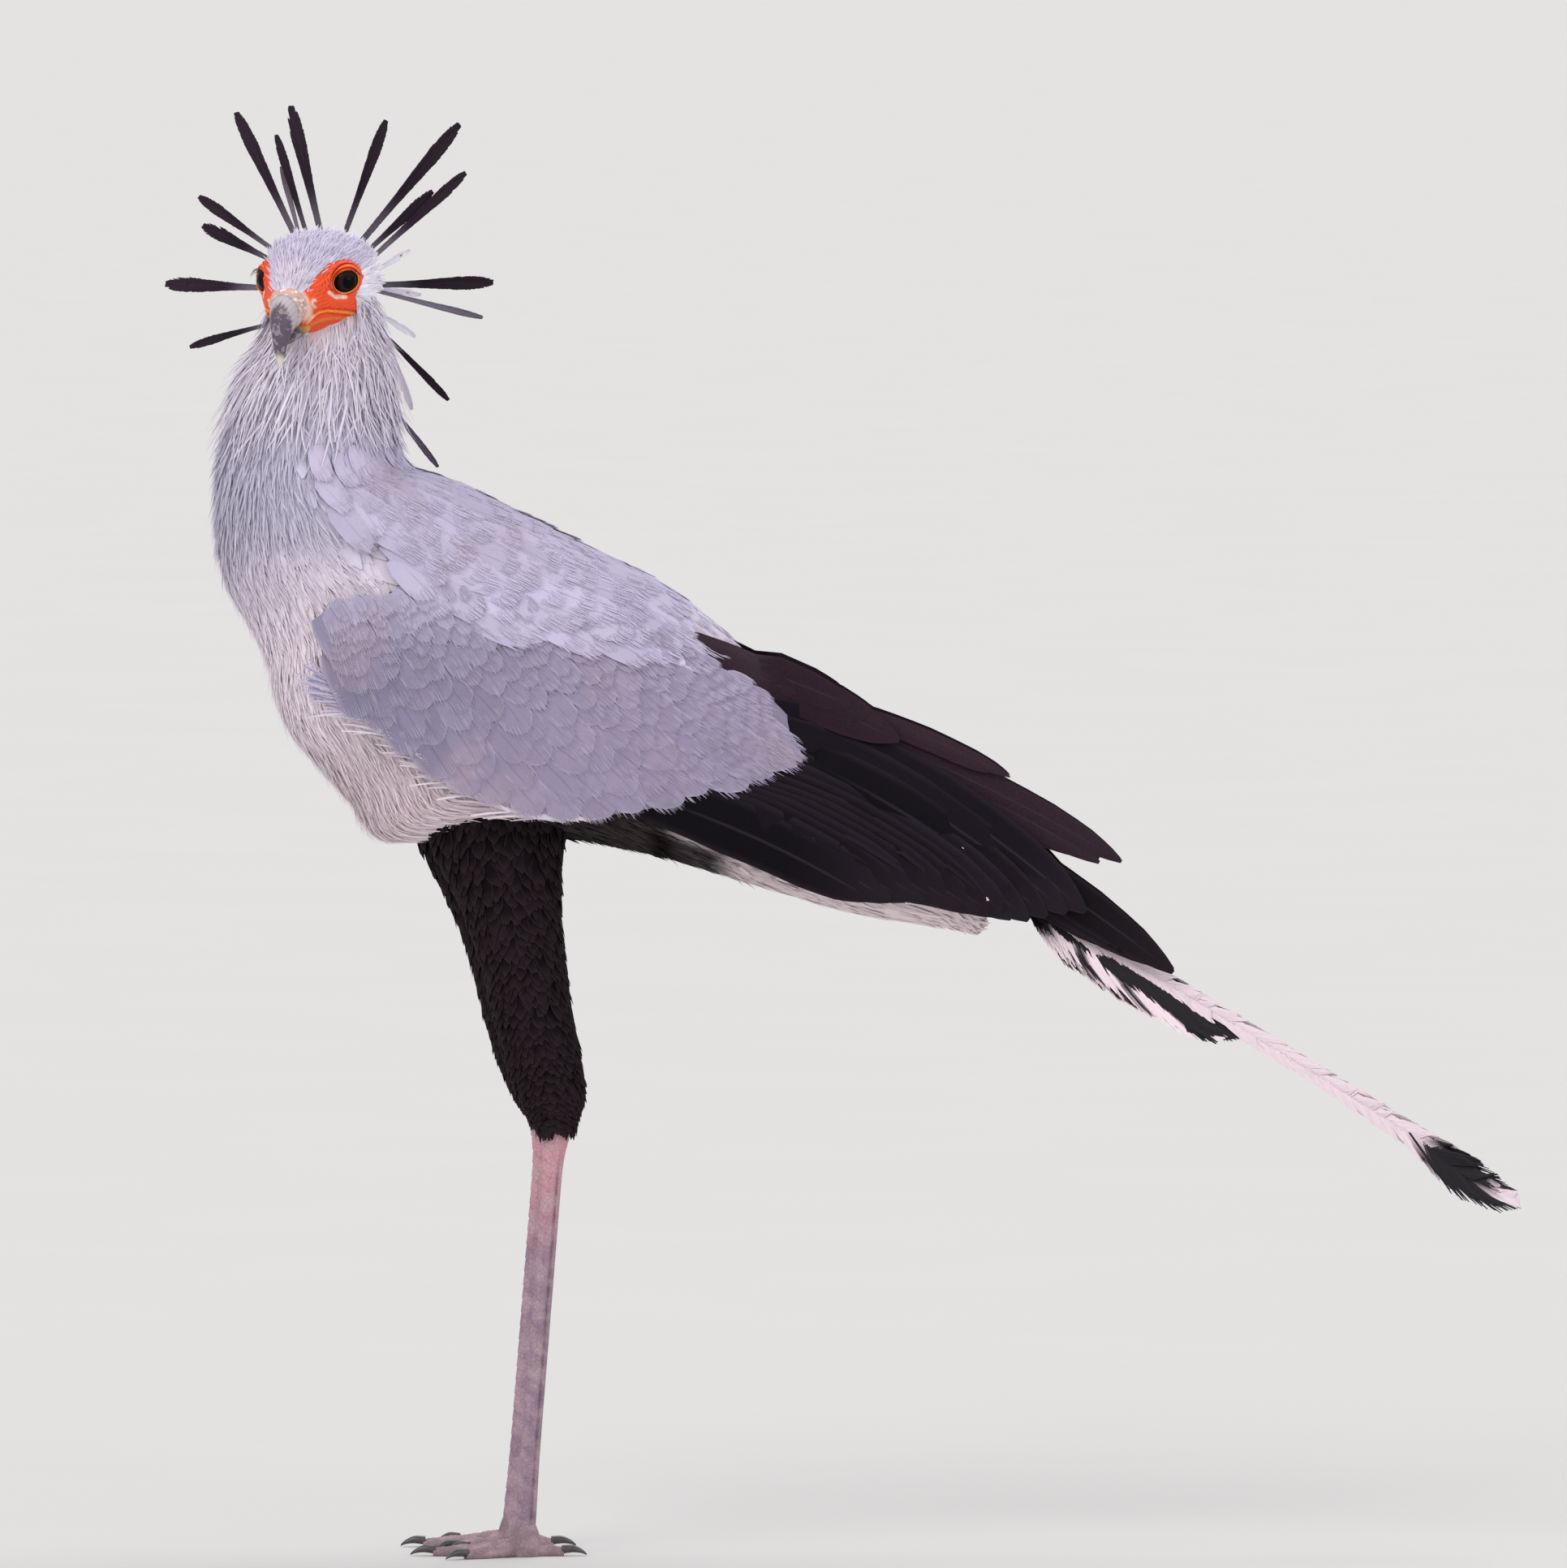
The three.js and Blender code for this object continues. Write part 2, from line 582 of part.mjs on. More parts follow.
// Flight feathers of one wing: each group runs from a line of roots to a line of tips, at its own height
const FLIGHT = { thickness: 0.7, tilt: 0.1 };
const FLIGHT_GROUPS = [
  // tertials, over the panel's upper end
  { count: 2, roots: [[112, 690], [120, 676]], tips: [[246, 653], [282, 627]], width: [34, 40], bend: 14,
    lift: [[-1.5, 2], [-1.5, 1]] },
  // secondaries, fanned along the panel's lower end
  { count: 4, roots: [[182, 650], [150, 622], [96, 602], [38, 600]],
    tips: [[424, 493], [376, 488], [314, 500], [262, 503]], width: [52, 50], bend: 12,
    lift: [[-4, -4], [-4, -4]] },
  // primaries, a narrow bundle under the secondaries
  { count: 3, roots: [[188, 652], [186, 646], [184, 640]], tips: [[453, 529], [430, 531], [404, 540]],
    width: [31, 31], bend: 7, lift: [[-10, -10], [-13, -13]] },
  // the longest secondaries, deepest of all
  { count: 2, roots: [[186, 632], [176, 622]], tips: [[494, 444], [452, 462]], width: [40, 40], bend: 7,
    lift: [[-15, -15], [-16.8, -16.8]] },
];
const FLIGHT_SHAPE = [0.55, 0.95, 1, 0.4];

function flightVanes() {
  return FLIGHT_GROUPS.flatMap((group) => Array.from({ length: group.count }, (_, i) => {
    const t = i / (group.count - 1);
    const lift = [0, 1].map((end) => mix(group.lift[0][end], group.lift[1][end], t));
    const [root, tip] = [lineAt(group.roots, t), lineAt(group.tips, t)];
    const { bend, width } = group;
    return wingVane({ root, tip, bend, width: mix(...width, t), shape: FLIGHT_SHAPE, lift, ...FLIGHT });
  }));
}

const onSide = (solid, side) => (side > 0 ? solid : mirrored(solid));
const bodyRoom = bodyStretch(NECK_BASE, SECTIONS.length - 1, GAP);

function wingNode(side) {
  const panel = wingPanel();
  return largest(cut(onSide(join([panel, ...covertVanes(), ...flightVanes()]), side), [bodyRoom]));
}

// Shoulder feathers: tiers of broad vanes rooted in the back that lie over the top of each folded wing
const SCAPULAR_TIERS = [
  { from: 7.4, reach: 2.7, angles: [26, 47, 68, 90, 112, 133, 154], spread: 10.3, tip: 13 },
  { from: 9.4, reach: 2.6, angles: [37, 57.5, 79, 101, 122.5, 143], spread: 10, tip: 16 },
  { from: 11, reach: 3.1, angles: [50, 70, 90, 110, 130], spread: 9.6, tip: 19 },
];
const SCAPULAR_SHAPE = [0.7, 1, 1, 0.45];

function scapular({ from, reach, spread, tip }, angle) {
  const steps = SCAPULAR_SHAPE.length - 1;
  const rows = SCAPULAR_SHAPE.map((share, i) => {
    const t = i / steps;
    const [s, lift] = [from + reach * t, mix(-3, tip, t ** 0.7)];
    const out = bodySpot(s, angle, lift + 1).sub(bodySpot(s, angle, lift)).normalize();
    return [-1, 1].map((k) => ({ p: bodySpot(s, angle + spread * share * k, lift), n: out }));
  });
  return sheet(rows, 0.9);
}

// Ragged locks along the belly and the vent: section, angle round the body, reach along it
const BELLY_LOCKS = [[7.6, 262], [8.4, 280], [9.2, 264], [9.9, 278], [10.6, 262], [11.3, 282], [12, 266]];

function torsoNode() {
  const vanes = SCAPULAR_TIERS.flatMap((tier) => tier.angles.map((angle) => scapular(tier, angle)));
  const locks = BELLY_LOCKS.map(([s, angle]) => ruffLock(s, angle, { reach: 1.1, width: 24, flare: 9 }));
  return largest(join([bodyStretch(NECK_BASE, TORSO_END - SEAM), ...vanes, ...locks]));
}

// Thigh sections, top to hem: height, front x, back x, half width
const THIGH = [
  [600, -78, 46, 25],
  [546, -74, 29, 28],
  [499, -52, 26, 27],
  [456, -36, 29, 24],
  [412, -26, 35, 21],
  [375, -16, 42, 18.5],
  [350, -6, 44, 16.5],
  [336, 1, 40, 14.5],
  [HEEL.z, 6, 38, 12],
];
const THIGH_SIDES = 16;

function legX(side) {
  return side > 0 ? 0 : -FAR_LEG_LEAD;
}

// Hem locks: flat points that hang from the thigh's last feathers over the heel
const HEM = { count: 8, ring: 5, low: 7, width: 11, depth: 3, drop: [14, 26], out: 1.28 };

function hemLock(side, index, rings) {
  const angle = (2 * Math.PI * (index + 0.5)) / HEM.count;
  const round = vec(-Math.sin(angle), Math.cos(angle), 0);
  const outward = vec(Math.cos(angle), Math.sin(angle), 0);
  const drop = mix(...HEM.drop, random());
  const stages = [[HEM.ring, 0.82, 0, 0.8], [HEM.low, 1.04, 0, 1], [HEM.low, HEM.out, drop, 0.12]];
  const spots = stages.map(([row, out, fall, share]) => {
    const centre = rings[row].reduce((sum, p) => sum.add(p), vec(0, 0, 0)).divideScalar(rings[row].length);
    const [half, deep] = [(THIGH[row][2] - THIGH[row][1]) / 2, THIGH[row][3]];
    centre.add(vec(Math.cos(angle) * half * out, Math.sin(angle) * deep * out, -fall));
    const raised = outward.clone().add(vec(0, 0, 0.3)).normalize();
    return ring(centre, round, raised, (HEM.width * share) / 2, (HEM.depth * share) / 2 + 0.3, 2, 4);
  });
  return loft(spots);
}

function thighNode(side) {
  const rings = THIGH.map(([z, x0, x1, half], i) => {
    const lean = side > 0 ? 0 : -FAR_LEG_LEAD * mix(1.4, 0.6, i / (THIGH.length - 1));
    const y = -side * mix(LEG_SPACING / 2 - 3, LEG_SPACING / 2, i / (THIGH.length - 1));
    const centre = vec((x0 + x1) / 2 + lean, y, z);
    return ring(centre, vec(1, 0, 0), vec(0, 1, 0), (x1 - x0) / 2, half, 2.2, THIGH_SIDES);
  });
  const locks = Array.from({ length: HEM.count }, (_, i) => hemLock(side, i, rings));
  return largest(cut(join([loft(rings), ...locks]), [bodyRoom]));
}

// Shank: a knobbed heel, a slim shaft with scutes down its front, and the spread above the foot
const SHANK = { heel: 12.5, waist: 7.2, foot: 8.4, width: 0.84, scutes: 12, scuteLift: 0.9, sides: 10 };

function shankRadius(t) {
  const heel = (SHANK.heel - SHANK.waist) * Math.exp(-((t / 0.07) ** 2));
  const foot = (SHANK.foot - SHANK.waist) * Math.exp(-(((1 - t) / 0.12) ** 2));
  return SHANK.waist + heel + foot;
}

function shankNode(side) {
  const rings = [];
  const stations = [];
  for (let i = 0; i < SHANK.scutes; i += 1) stations.push([i, 0], [i + 0.82, 1]);
  stations.push([SHANK.scutes, 0]);
  for (const [i, lift] of stations) {
    const t = i / SHANK.scutes;
    const x = mix(HEEL.x - 2, ANKLE.x, t) + legX(side);
    const centre = vec(x, (-side * LEG_SPACING) / 2, mix(HEEL.z - GAP, ANKLE.z, t));
    const radius = shankRadius(t);
    const plain = ring(centre, vec(-1, 0, 0), vec(0, 1, 0), radius, radius * SHANK.width, 2, SHANK.sides);
    rings.push(plain.map((p) => {
      const front = clamp((centre.x - p.x) / radius, 0, 1);
      return p.add(vec(-lift * SHANK.scuteLift * front ** 0.5, 0, 0));
    }));
  }
  return loft(rings);
}

// Toes: heading from straight ahead in degrees, length, half width; all lie flat on the floor
const TOES = [
  { name: 'middle', heading: 0, length: 70, half: 8 },
  { name: 'inner', heading: 31, length: 52, half: 7.5 },
  { name: 'outer', heading: -31, length: 52, half: 7.5 },
  { name: 'hind', heading: 180, length: 30, half: 6 },
];
const TOE = { height: 13, tipHeight: 9, steps: 5, sides: 8, pads: 0.06 };
const CLAW = { length: 17, radius: 3.4 };

function toeDirection(toe, side) {
  const heading = radians(toe.heading * side);
  return vec(-Math.cos(heading), Math.sin(heading), 0);
}

function footCentre(side) {
  return vec(ANKLE.x + legX(side), (-side * LEG_SPACING) / 2, 0);
}

function toeForm(toe, side) {
  const along = toeDirection(toe, side);
  const across = vec(-along.y, along.x, 0);
  const rings = Array.from({ length: TOE.steps + 1 }, (_, i) => {
    const t = i / TOE.steps;
    const tip = Math.sqrt(1 - (0.93 * t) ** 6);
    const pad = 1 + TOE.pads * Math.cos(2 * Math.PI * 3 * t);
    const half = toe.half * mix(1.05, 0.72, t) * tip * pad;
    const height = mix(TOE.height * 1.35, TOE.tipHeight, Math.min(1, 2.2 * t)) * tip * pad;
    const centre = footCentre(side).addScaledVector(along, toe.length * t).add(vec(0, 0, height * 0.42));
    return ring(centre, across, vec(0, 0, 1), half, height * 0.58, 2, TOE.sides).map((p) => {
      p.z = Math.max(p.z, 0);
      return p;
    });
  });
  return loft(rings);
}

function footNode(side) {
  const centre = footCentre(side);
  const top = [ANKLE.z - GAP, SHANK.foot, SHANK.foot * SHANK.width];
  const profile = [[0, 12, 11], [9, 13, 12], [17, 11, 9.5], top];
  const ankle = loft(profile.map(
    ([z, a, b]) => ring(centre.clone().setZ(z), vec(-1, 0, 0), vec(0, 1, 0), a, b, 2, SHANK.sides),
  ));
  return largest(join([ankle, ...TOES.map((toe) => toeForm(toe, side))]));
}

function clawNode(toe, side) {
  const along = toeDirection(toe, side);
  const start = footCentre(side).addScaledVector(along, toe.length + GAP);
  const points = [[0, 5], [0.45, 5.6], [0.8, 3.8], [1, 1.4]].map(
    ([t, z]) => start.clone().addScaledVector(along, t * CLAW.length).setZ(z),
  );
  return tapered(points, [CLAW.radius, CLAW.radius * 0.85, CLAW.radius * 0.5, 0.7], 6, 3);
}

// Tail feathers of one side, from the middle outwards: length and width; each side slopes like a roof
const TAIL_ROOT = { x: 375, z: 513.4, fall: 31.4, roll: 44, sag: 2, layer: 1.5, step: 2.4 };
const LONG_SHAPE = [0.16, 0.5, 0.42, 0.4, 0.5, 0.95];
const SHORT_SHAPE = [0.16, 0.6, 0.9, 1, 1, 0.42];
const TAIL = [
  { length: 449, width: 44, shape: LONG_SHAPE },
  { length: 202, width: 44, shape: SHORT_SHAPE },
  { length: 184, width: 42, shape: SHORT_SHAPE },
  { length: 165, width: 40, shape: SHORT_SHAPE },
  { length: 146, width: 38, shape: SHORT_SHAPE },
  { length: 126, width: 36, shape: SHORT_SHAPE },
];
const RECTRIX = { thickness: 0.7, ridge: 0.7 };

function tailFeather(feather, index, side) {
  const fall = radians(TAIL_ROOT.fall);
  const roll = radians(TAIL_ROOT.roll);
  const across = vec(0, -side * Math.cos(roll), -Math.sin(roll));
  const under = vec(0, side * Math.sin(roll), -Math.cos(roll));
  const widths = feather.shape.map((share) => share * feather.width);
  const points = widths.map((width, i) => {
    const t = i / (widths.length - 1);
    const along = feather.length * t;
    const inner = 0.6 / Math.cos(roll) + width / 2 + TAIL_ROOT.step * index * Math.min(1, 3 * t);
    const z = TAIL_ROOT.z - along * Math.sin(fall) - TAIL_ROOT.sag * t * t;
    return vec(TAIL_ROOT.x + along * Math.cos(fall), 0, z)
      .addScaledVector(across, inner)
      .addScaledVector(under, TAIL_ROOT.layer * index);
  });
  return vane(points, across, widths, RECTRIX.thickness, -side * RECTRIX.ridge);
}

function tailNode() {
  const [x0, z0, x1, z1, half] = SECTIONS[SECTIONS.length - 1];
  const up = vec(x1 - x0, 0, z1 - z0);
  const height = up.length() / 2;
  const along = vec(Math.cos(radians(TAIL_ROOT.fall)), 0, -Math.sin(radians(TAIL_ROOT.fall)));
  const stub = loft([[GAP, 0.98], [14, 0.9], [36, 0.4]].map(([reach, share]) => {
    const centre = vec((x0 + x1) / 2, 0, (z0 + z1) / 2).addScaledVector(along, reach);
    return ring(centre, vec(0, -1, 0), up.clone().normalize(), half * share, height * share, 2, 12);
  }));
  const feathers = [1, -1].flatMap((side) => TAIL.map((feather, index) => tailFeather(feather, index, side)));
  return largest(join([stub, ...feathers]));
}

const nodes = {
  head: headNode(),
  eye_left: eyeball(1),
  eye_right: eyeball(-1),
  bill_upper: largest(cut(billForm(BILL), [nostril(1), nostril(-1)])),
  bill_lower: billForm(LOWER_BILL),
  neck: neckNode(),
  torso: torsoNode(),
  rump: bodyStretch(TORSO_END, SECTIONS.length - 1),
  tail: tailNode(),
};
for (const [word, side] of [['left', 1], ['right', -1]]) {
  nodes[`wing_${word}`] = wingNode(side);
  nodes[`thigh_${word}`] = thighNode(side);
  nodes[`shank_${word}`] = shankNode(side);
  nodes[`foot_${word}`] = footNode(side);
  for (const toe of TOES) nodes[`claw_${toe.name}_${word}`] = clawNode(toe, side);
}

// Plain colour and finish of each kind of node
const FINISHES = {
  head: [0xb4b0c0, 0.9],
  eye: [0x1a1210, 0.1],
  bill: [0xb8b4b0, 0.4],
  neck: [0xc8bccb, 0.9],
  torso: [0xccbcb4, 0.9],
  rump: [0xd8c8c4, 0.9],
  tail: [0xe8e0e0, 0.8],
  wing: [0xa0a0b4, 0.8],
  thigh: [0x1c1618, 0.8],
  shank: [0x94787e, 0.7],
  foot: [0x8c7478, 0.7],
  claw: [0x2a2426, 0.4],
};
const group = new THREE.Group();
for (const [name, solid] of Object.entries(nodes)) {
  const mesh = solid.getMesh();
  const geometry = new THREE.BufferGeometry();
  geometry.setAttribute('position', new THREE.BufferAttribute(new Float32Array(mesh.vertProperties), 3));
  geometry.setIndex(Array.from(mesh.triVerts));
  const [color, roughness] = FINISHES[name.split('_')[0]];
  const node = new THREE.Mesh(geometry, new THREE.MeshStandardMaterial({ color, roughness, metalness: 0 }));
  node.name = name;
  group.add(node);
}

// The whole bird is moved so that the middle of its outline stands on the origin of the floor
const box = new THREE.Box3().setFromObject(group);
for (const node of group.children) {
  node.geometry.translate(-(box.min.x + box.max.x) / 2, -(box.min.y + box.max.y) / 2, -box.min.z);
}
export default group;
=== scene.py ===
# %% [markdown]
# # A secretary bird, life size
# A lesson in cells. Each step says what a part of the bird is, how it could be made, and why it is
# made the way it is. Lengths are worked out in millimetres on the bird's own frame and turned into
# metres when a mesh is made: the bird faces -X, its left side is towards -Y, and Z goes up.

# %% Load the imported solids
import math
from collections import namedtuple

import bpy
import numpy as np
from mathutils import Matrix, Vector


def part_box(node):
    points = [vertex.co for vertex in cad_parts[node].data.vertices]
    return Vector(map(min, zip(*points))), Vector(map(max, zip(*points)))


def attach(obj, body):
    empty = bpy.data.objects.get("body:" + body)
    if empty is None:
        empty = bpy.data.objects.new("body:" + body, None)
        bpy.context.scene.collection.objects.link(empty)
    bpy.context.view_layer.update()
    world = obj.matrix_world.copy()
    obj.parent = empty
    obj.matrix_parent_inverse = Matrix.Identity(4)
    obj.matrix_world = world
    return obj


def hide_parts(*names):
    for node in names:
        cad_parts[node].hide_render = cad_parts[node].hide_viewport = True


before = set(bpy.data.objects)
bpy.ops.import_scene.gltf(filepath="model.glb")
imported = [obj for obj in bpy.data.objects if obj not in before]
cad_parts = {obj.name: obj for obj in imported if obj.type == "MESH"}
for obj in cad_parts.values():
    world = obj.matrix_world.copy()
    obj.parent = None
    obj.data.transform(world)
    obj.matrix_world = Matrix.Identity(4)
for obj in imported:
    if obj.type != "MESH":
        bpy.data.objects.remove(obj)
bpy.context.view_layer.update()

# %% [markdown]
# ## Where the bird stands
# The solids were moved so that their box is centred on the origin. The left shank stands straight
# above a known place, so its box tells how far everything was moved, and one function brings every
# later shape to the same place.

# %% Place points in the frame
SHANK_BACK = 23 + 12.5
LEG_SPACING = 72.0
low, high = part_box("shank_left")
SHIFT = np.array([high[0] * 1000 - SHANK_BACK, (low[1] + high[1]) * 500 + LEG_SPACING / 2, 0.0])


def to_metres(points):
    """Bird millimetres to frame metres: add the shift, divide by a thousand."""
    return (np.asarray(points, float) + SHIFT) / 1000


print("shift of the bird in mm:", SHIFT.round(2))

# %% [markdown]
# ## Shader values as Python expressions
# A material is a web of small nodes. Wrapping a node's output in a class with + - * lets the web
# be written as a formula, so that `1 - edge` adds the Math node it needs.

# %% A shader value and a finish
class Value:
    """One output of a node. Arithmetic on it adds Math nodes."""

    def __init__(self, finish, socket):
        self.finish = finish
        self.socket = socket

    def _math(self, operation, *inputs):
        return self.finish.node("ShaderNodeMath", {"operation": operation}, inputs)

    def __add__(self, other):
        return self._math("ADD", self, other)

    __radd__ = __add__

    def __sub__(self, other):
        return self._math("SUBTRACT", self, other)

    def __rsub__(self, other):
        return self._math("SUBTRACT", other, self)

    def __mul__(self, other):
        return self._math("MULTIPLY", self, other)

    __rmul__ = __mul__

    def size(self):
        return self._math("ABSOLUTE", self)

    def ramp(self, low, high):
        """0 below low, 1 above high, smooth between."""
        settings = {"interpolation_type": "SMOOTHSTEP"}
        return self.finish.node("ShaderNodeMapRange", settings,
                                {"Value": self, "From Min": low, "From Max": high})


class Finish:
    """A material with one principled shader, and short ways to feed it."""

    def __init__(self, name, **constants):
        self.material = bpy.data.materials.new(name)
        self.material.use_nodes = True
        self.tree = self.material.node_tree
        self.shader = next(n for n in self.tree.nodes if n.type == "BSDF_PRINCIPLED")
        for words, value in constants.items():
            self.shader.inputs[words.replace("_", " ")].default_value = value

    def node(self, kind, settings=None, inputs=(), output=0):
        """Adds a node: its settings first, then the values or links of its sockets."""
        made = self.tree.nodes.new(kind)
        for key, value in (settings or {}).items():
            setattr(made, key, value)
        pairs = inputs.items() if isinstance(inputs, dict) else enumerate(inputs)
        for key, value in pairs:
            self.feed(made.inputs[key], value)
        return Value(self, made.outputs[output])

    def feed(self, socket, value):
        if isinstance(value, Value):
            self.tree.links.new(value.socket, socket)
        elif isinstance(value, (tuple, list)) and socket.type == "RGBA" and len(value) == 3:
            socket.default_value = (*value, 1.0)
        else:
            socket.default_value = value

    def mix(self, share, first, second):
        """A colour between two colours."""
        settings = {"data_type": "RGBA"}
        return self.node("ShaderNodeMix", settings, {0: share, 6: first, 7: second}, output=2)

    def place(self):
        return self.node("ShaderNodeTexCoord", output=3)

    def noise(self, scale, detail=2.0, vector=None):
        inputs = {"Scale": scale, "Detail": detail, "Vector": vector or self.place()}
        return self.node("ShaderNodeTexNoise", None, inputs)

    def attribute(self, name, output=0):
        return self.node("ShaderNodeAttribute", {"attribute_name": name}, output=output)

    def finish(self, colour=None, roughness=None, height=None, depth=0.001, strength=0.6):
        """Connects the colour, the roughness and a bump of the given depth in metres."""
        if colour is not None:
            self.feed(self.shader.inputs["Base Color"], colour)
        if roughness is not None:
            self.feed(self.shader.inputs["Roughness"], roughness)
        if height is not None:
            inputs = {"Strength": strength, "Distance": depth, "Height": height}
            self.feed(self.shader.inputs["Normal"], self.node("ShaderNodeBump", None, inputs))
        return self.material


print("shader helpers ready")

# %% [markdown]
# ## Making a mesh from arrays
# Every shape below is an array of points and an array of faces. One function turns them into an
# object that stands at the origin, with its place in its mesh.

# %% Mesh makers
def quads(rows, columns, closed=False):
    """Faces of a grid: each cell joins a point with its neighbours along the row and the next row."""
    across = columns if closed else columns - 1
    i, j = np.meshgrid(np.arange(rows - 1), np.arange(across), indexing="ij")
    k = (j + 1) % columns
    corners = [i * columns + j, i * columns + k, (i + 1) * columns + k, (i + 1) * columns + j]
    return np.stack(corners, -1).reshape(-1, 4)


def pole_caps(rows, columns):
    """Triangles that close a ring-shaped grid: from its first row to the point after the grid, and
    from its last row to the point after that."""
    j = np.arange(columns)
    k = (j + 1) % columns
    last, pole = (rows - 1) * columns, rows * columns
    return [np.stack([k, j, np.full(columns, pole)], -1),
            np.stack([last + j, last + k, np.full(columns, pole + 1)], -1)]


def piece(name, points, faces, material, replaces=(), maps=None, values=None, shading=None):
    """A mesh object from points in bird millimetres. maps are UV maps given per point, values are
    numbers or colours kept per point, shading gives a normal for each corner of the faces."""
    mesh = bpy.data.meshes.new(name)
    lists = [faces] if isinstance(faces, np.ndarray) else faces
    corners = np.concatenate([f.ravel() for f in lists]).astype(np.int32)
    sizes = np.concatenate([np.full(len(f), f.shape[1]) for f in lists])
    mesh.vertices.add(len(points))
    mesh.vertices.foreach_set("co", to_metres(points).astype(np.float32).ravel())
    mesh.loops.add(len(corners))
    mesh.loops.foreach_set("vertex_index", corners)
    mesh.polygons.add(len(sizes))
    mesh.polygons.foreach_set("loop_start", np.concatenate([[0], np.cumsum(sizes)[:-1]]).astype(np.int32))
    mesh.update(calc_edges=True)
    mesh.validate()
    for key, table in (maps or {}).items():
        layer = mesh.uv_layers.new(name=key)
        layer.uv.foreach_set("vector", np.asarray(table, np.float32)[corners].ravel())
    for key, table in (values or {}).items():
        table = np.asarray(table, np.float32)
        if table.ndim == 1:
            mesh.attributes.new(key, "FLOAT", "POINT").data.foreach_set("value", table)
        else:
            filled = np.concatenate([table, np.ones((len(table), 1), np.float32)], 1)
            mesh.attributes.new(key, "FLOAT_COLOR", "POINT").data.foreach_set("color", filled.ravel())
    mesh.polygons.foreach_set("use_smooth", np.full(len(sizes), True))
    if shading is not None:
        mesh.normals_split_custom_set(shading.tolist())
    mesh.materials.append(material)
    thing = bpy.data.objects.new(name, mesh)
    bpy.context.scene.collection.objects.link(thing)
    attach(thing, "root")
    if replaces:
        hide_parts(*replaces)
    print(f"{name}: {len(points)} points, {len(sizes)} faces")
    return thing


def spline(table, s):
    """Rows of a table read at any place s: Catmull-Rom, column by column."""
    table = np.asarray(table, float)
    s = np.asarray(s, float)
    i = np.clip(np.floor(s).astype(int), 0, len(table) - 2)
    t = (s - i)[..., None]
    p0, p1 = table[np.maximum(i - 1, 0)], table[i]
    p2, p3 = table[i + 1], table[np.minimum(i + 2, len(table) - 1)]
    slope = 0.5 * (p2 - p0)
    bend = p0 - 2.5 * p1 + 2 * p2 - 0.5 * p3
    twist = 1.5 * (p1 - p2) + 0.5 * (p3 - p0)
    return p1 + t * (slope + t * (bend + t * twist))


def along_line(points, share):
    """A point of a side-view line at a share of its length from 0 to 1."""
    table = np.asarray(points, float)
    fine = spline(table, np.linspace(0, len(table) - 1, 40 * (len(table) - 1) + 1))
    reach = np.concatenate([[0], np.cumsum(np.linalg.norm(np.diff(fine, axis=0), axis=1))])
    where = np.clip(share, 0, 1) * reach[-1]
    return np.stack([np.interp(where, reach, fine[:, k]) for k in range(fine.shape[1])], -1)


def soft_step(low, high, x):
    """0 below low, 1 above high, smooth between."""
    t = np.clip((np.asarray(x, float) - low) / (high - low), 0, 1)
    return t * t * (3 - 2 * t)


rng = np.random.default_rng(5)
print("mesh makers ready")

# %% [markdown]
# ## The body's form
# The trunk is a tube whose sections are given from the head to the tail: the front or belly point,
# the back point and the half width. Each section is a rounded box, a superellipse. The same table
# made the solids, so skin and solids agree.

# %% The body as a function of place and angle
SECTIONS = [
    [-182, 985, -138, 985, 14], [-194, 958, -118, 958, 28], [-203, 928, -109, 928, 39],
    [-216, 905, -104, 907, 43], [-228, 874, -101, 877, 46], [-236, 840, -98, 849, 51],
    [-238, 809, -89, 830, 58], [-237, 775, -65, 822, 68], [-231, 741, -36, 810, 76],
    [-214, 711, -6, 794, 82], [-200, 682, 22, 781, 85], [-193, 654, 48, 768, 86],
    [-181, 626, 74, 755, 86], [-158, 600, 100, 742, 85], [-135, 574, 124, 725, 85],
    [-112, 546, 146, 707, 84], [-56, 549, 170, 685, 82], [6, 549, 195, 660, 78],
    [62, 542, 217, 611, 68], [124, 527, 248, 577, 52], [186, 508, 286, 556, 40],
    [248, 490, 322, 547, 33], [310, 480, 358, 532, 27], [336, 475, 380, 522, 21],
]
BODY_POWER = 2.3


def body(s, angle, lift=0.0):
    """A point of the trunk. s is the section, angle goes round it (0 left, 90 back, 270 belly), and
    lift is the height above the surface. Half sizes follow a superellipse: cos and sin to 2/power."""
    x0, z0, x1, z1, half = np.moveaxis(spline(SECTIONS, s), -1, 0)
    height = np.hypot(x1 - x0, z1 - z0) / 2
    up_x, up_z = (x1 - x0) / (2 * height), (z1 - z0) / (2 * height)
    c, d = np.cos(np.radians(angle)), np.sin(np.radians(angle))
    side = np.sign(c) * np.abs(c) ** (2 / BODY_POWER)
    rise = (height + lift) * np.sign(d) * np.abs(d) ** (2 / BODY_POWER)
    return np.stack([(x0 + x1) / 2 + up_x * rise, -(half + lift) * side, (z0 + z1) / 2 + up_z * rise], -1)


back_steps = np.diff(body(np.arange(24.0), 90.0), axis=0)
print("length of the back in mm:", np.linalg.norm(back_steps, axis=1).sum().round())

# %% [markdown]
# The head looks round to its left and down at the viewer. It has its own three directions, and its
# sections run from the nape forward to the bill.

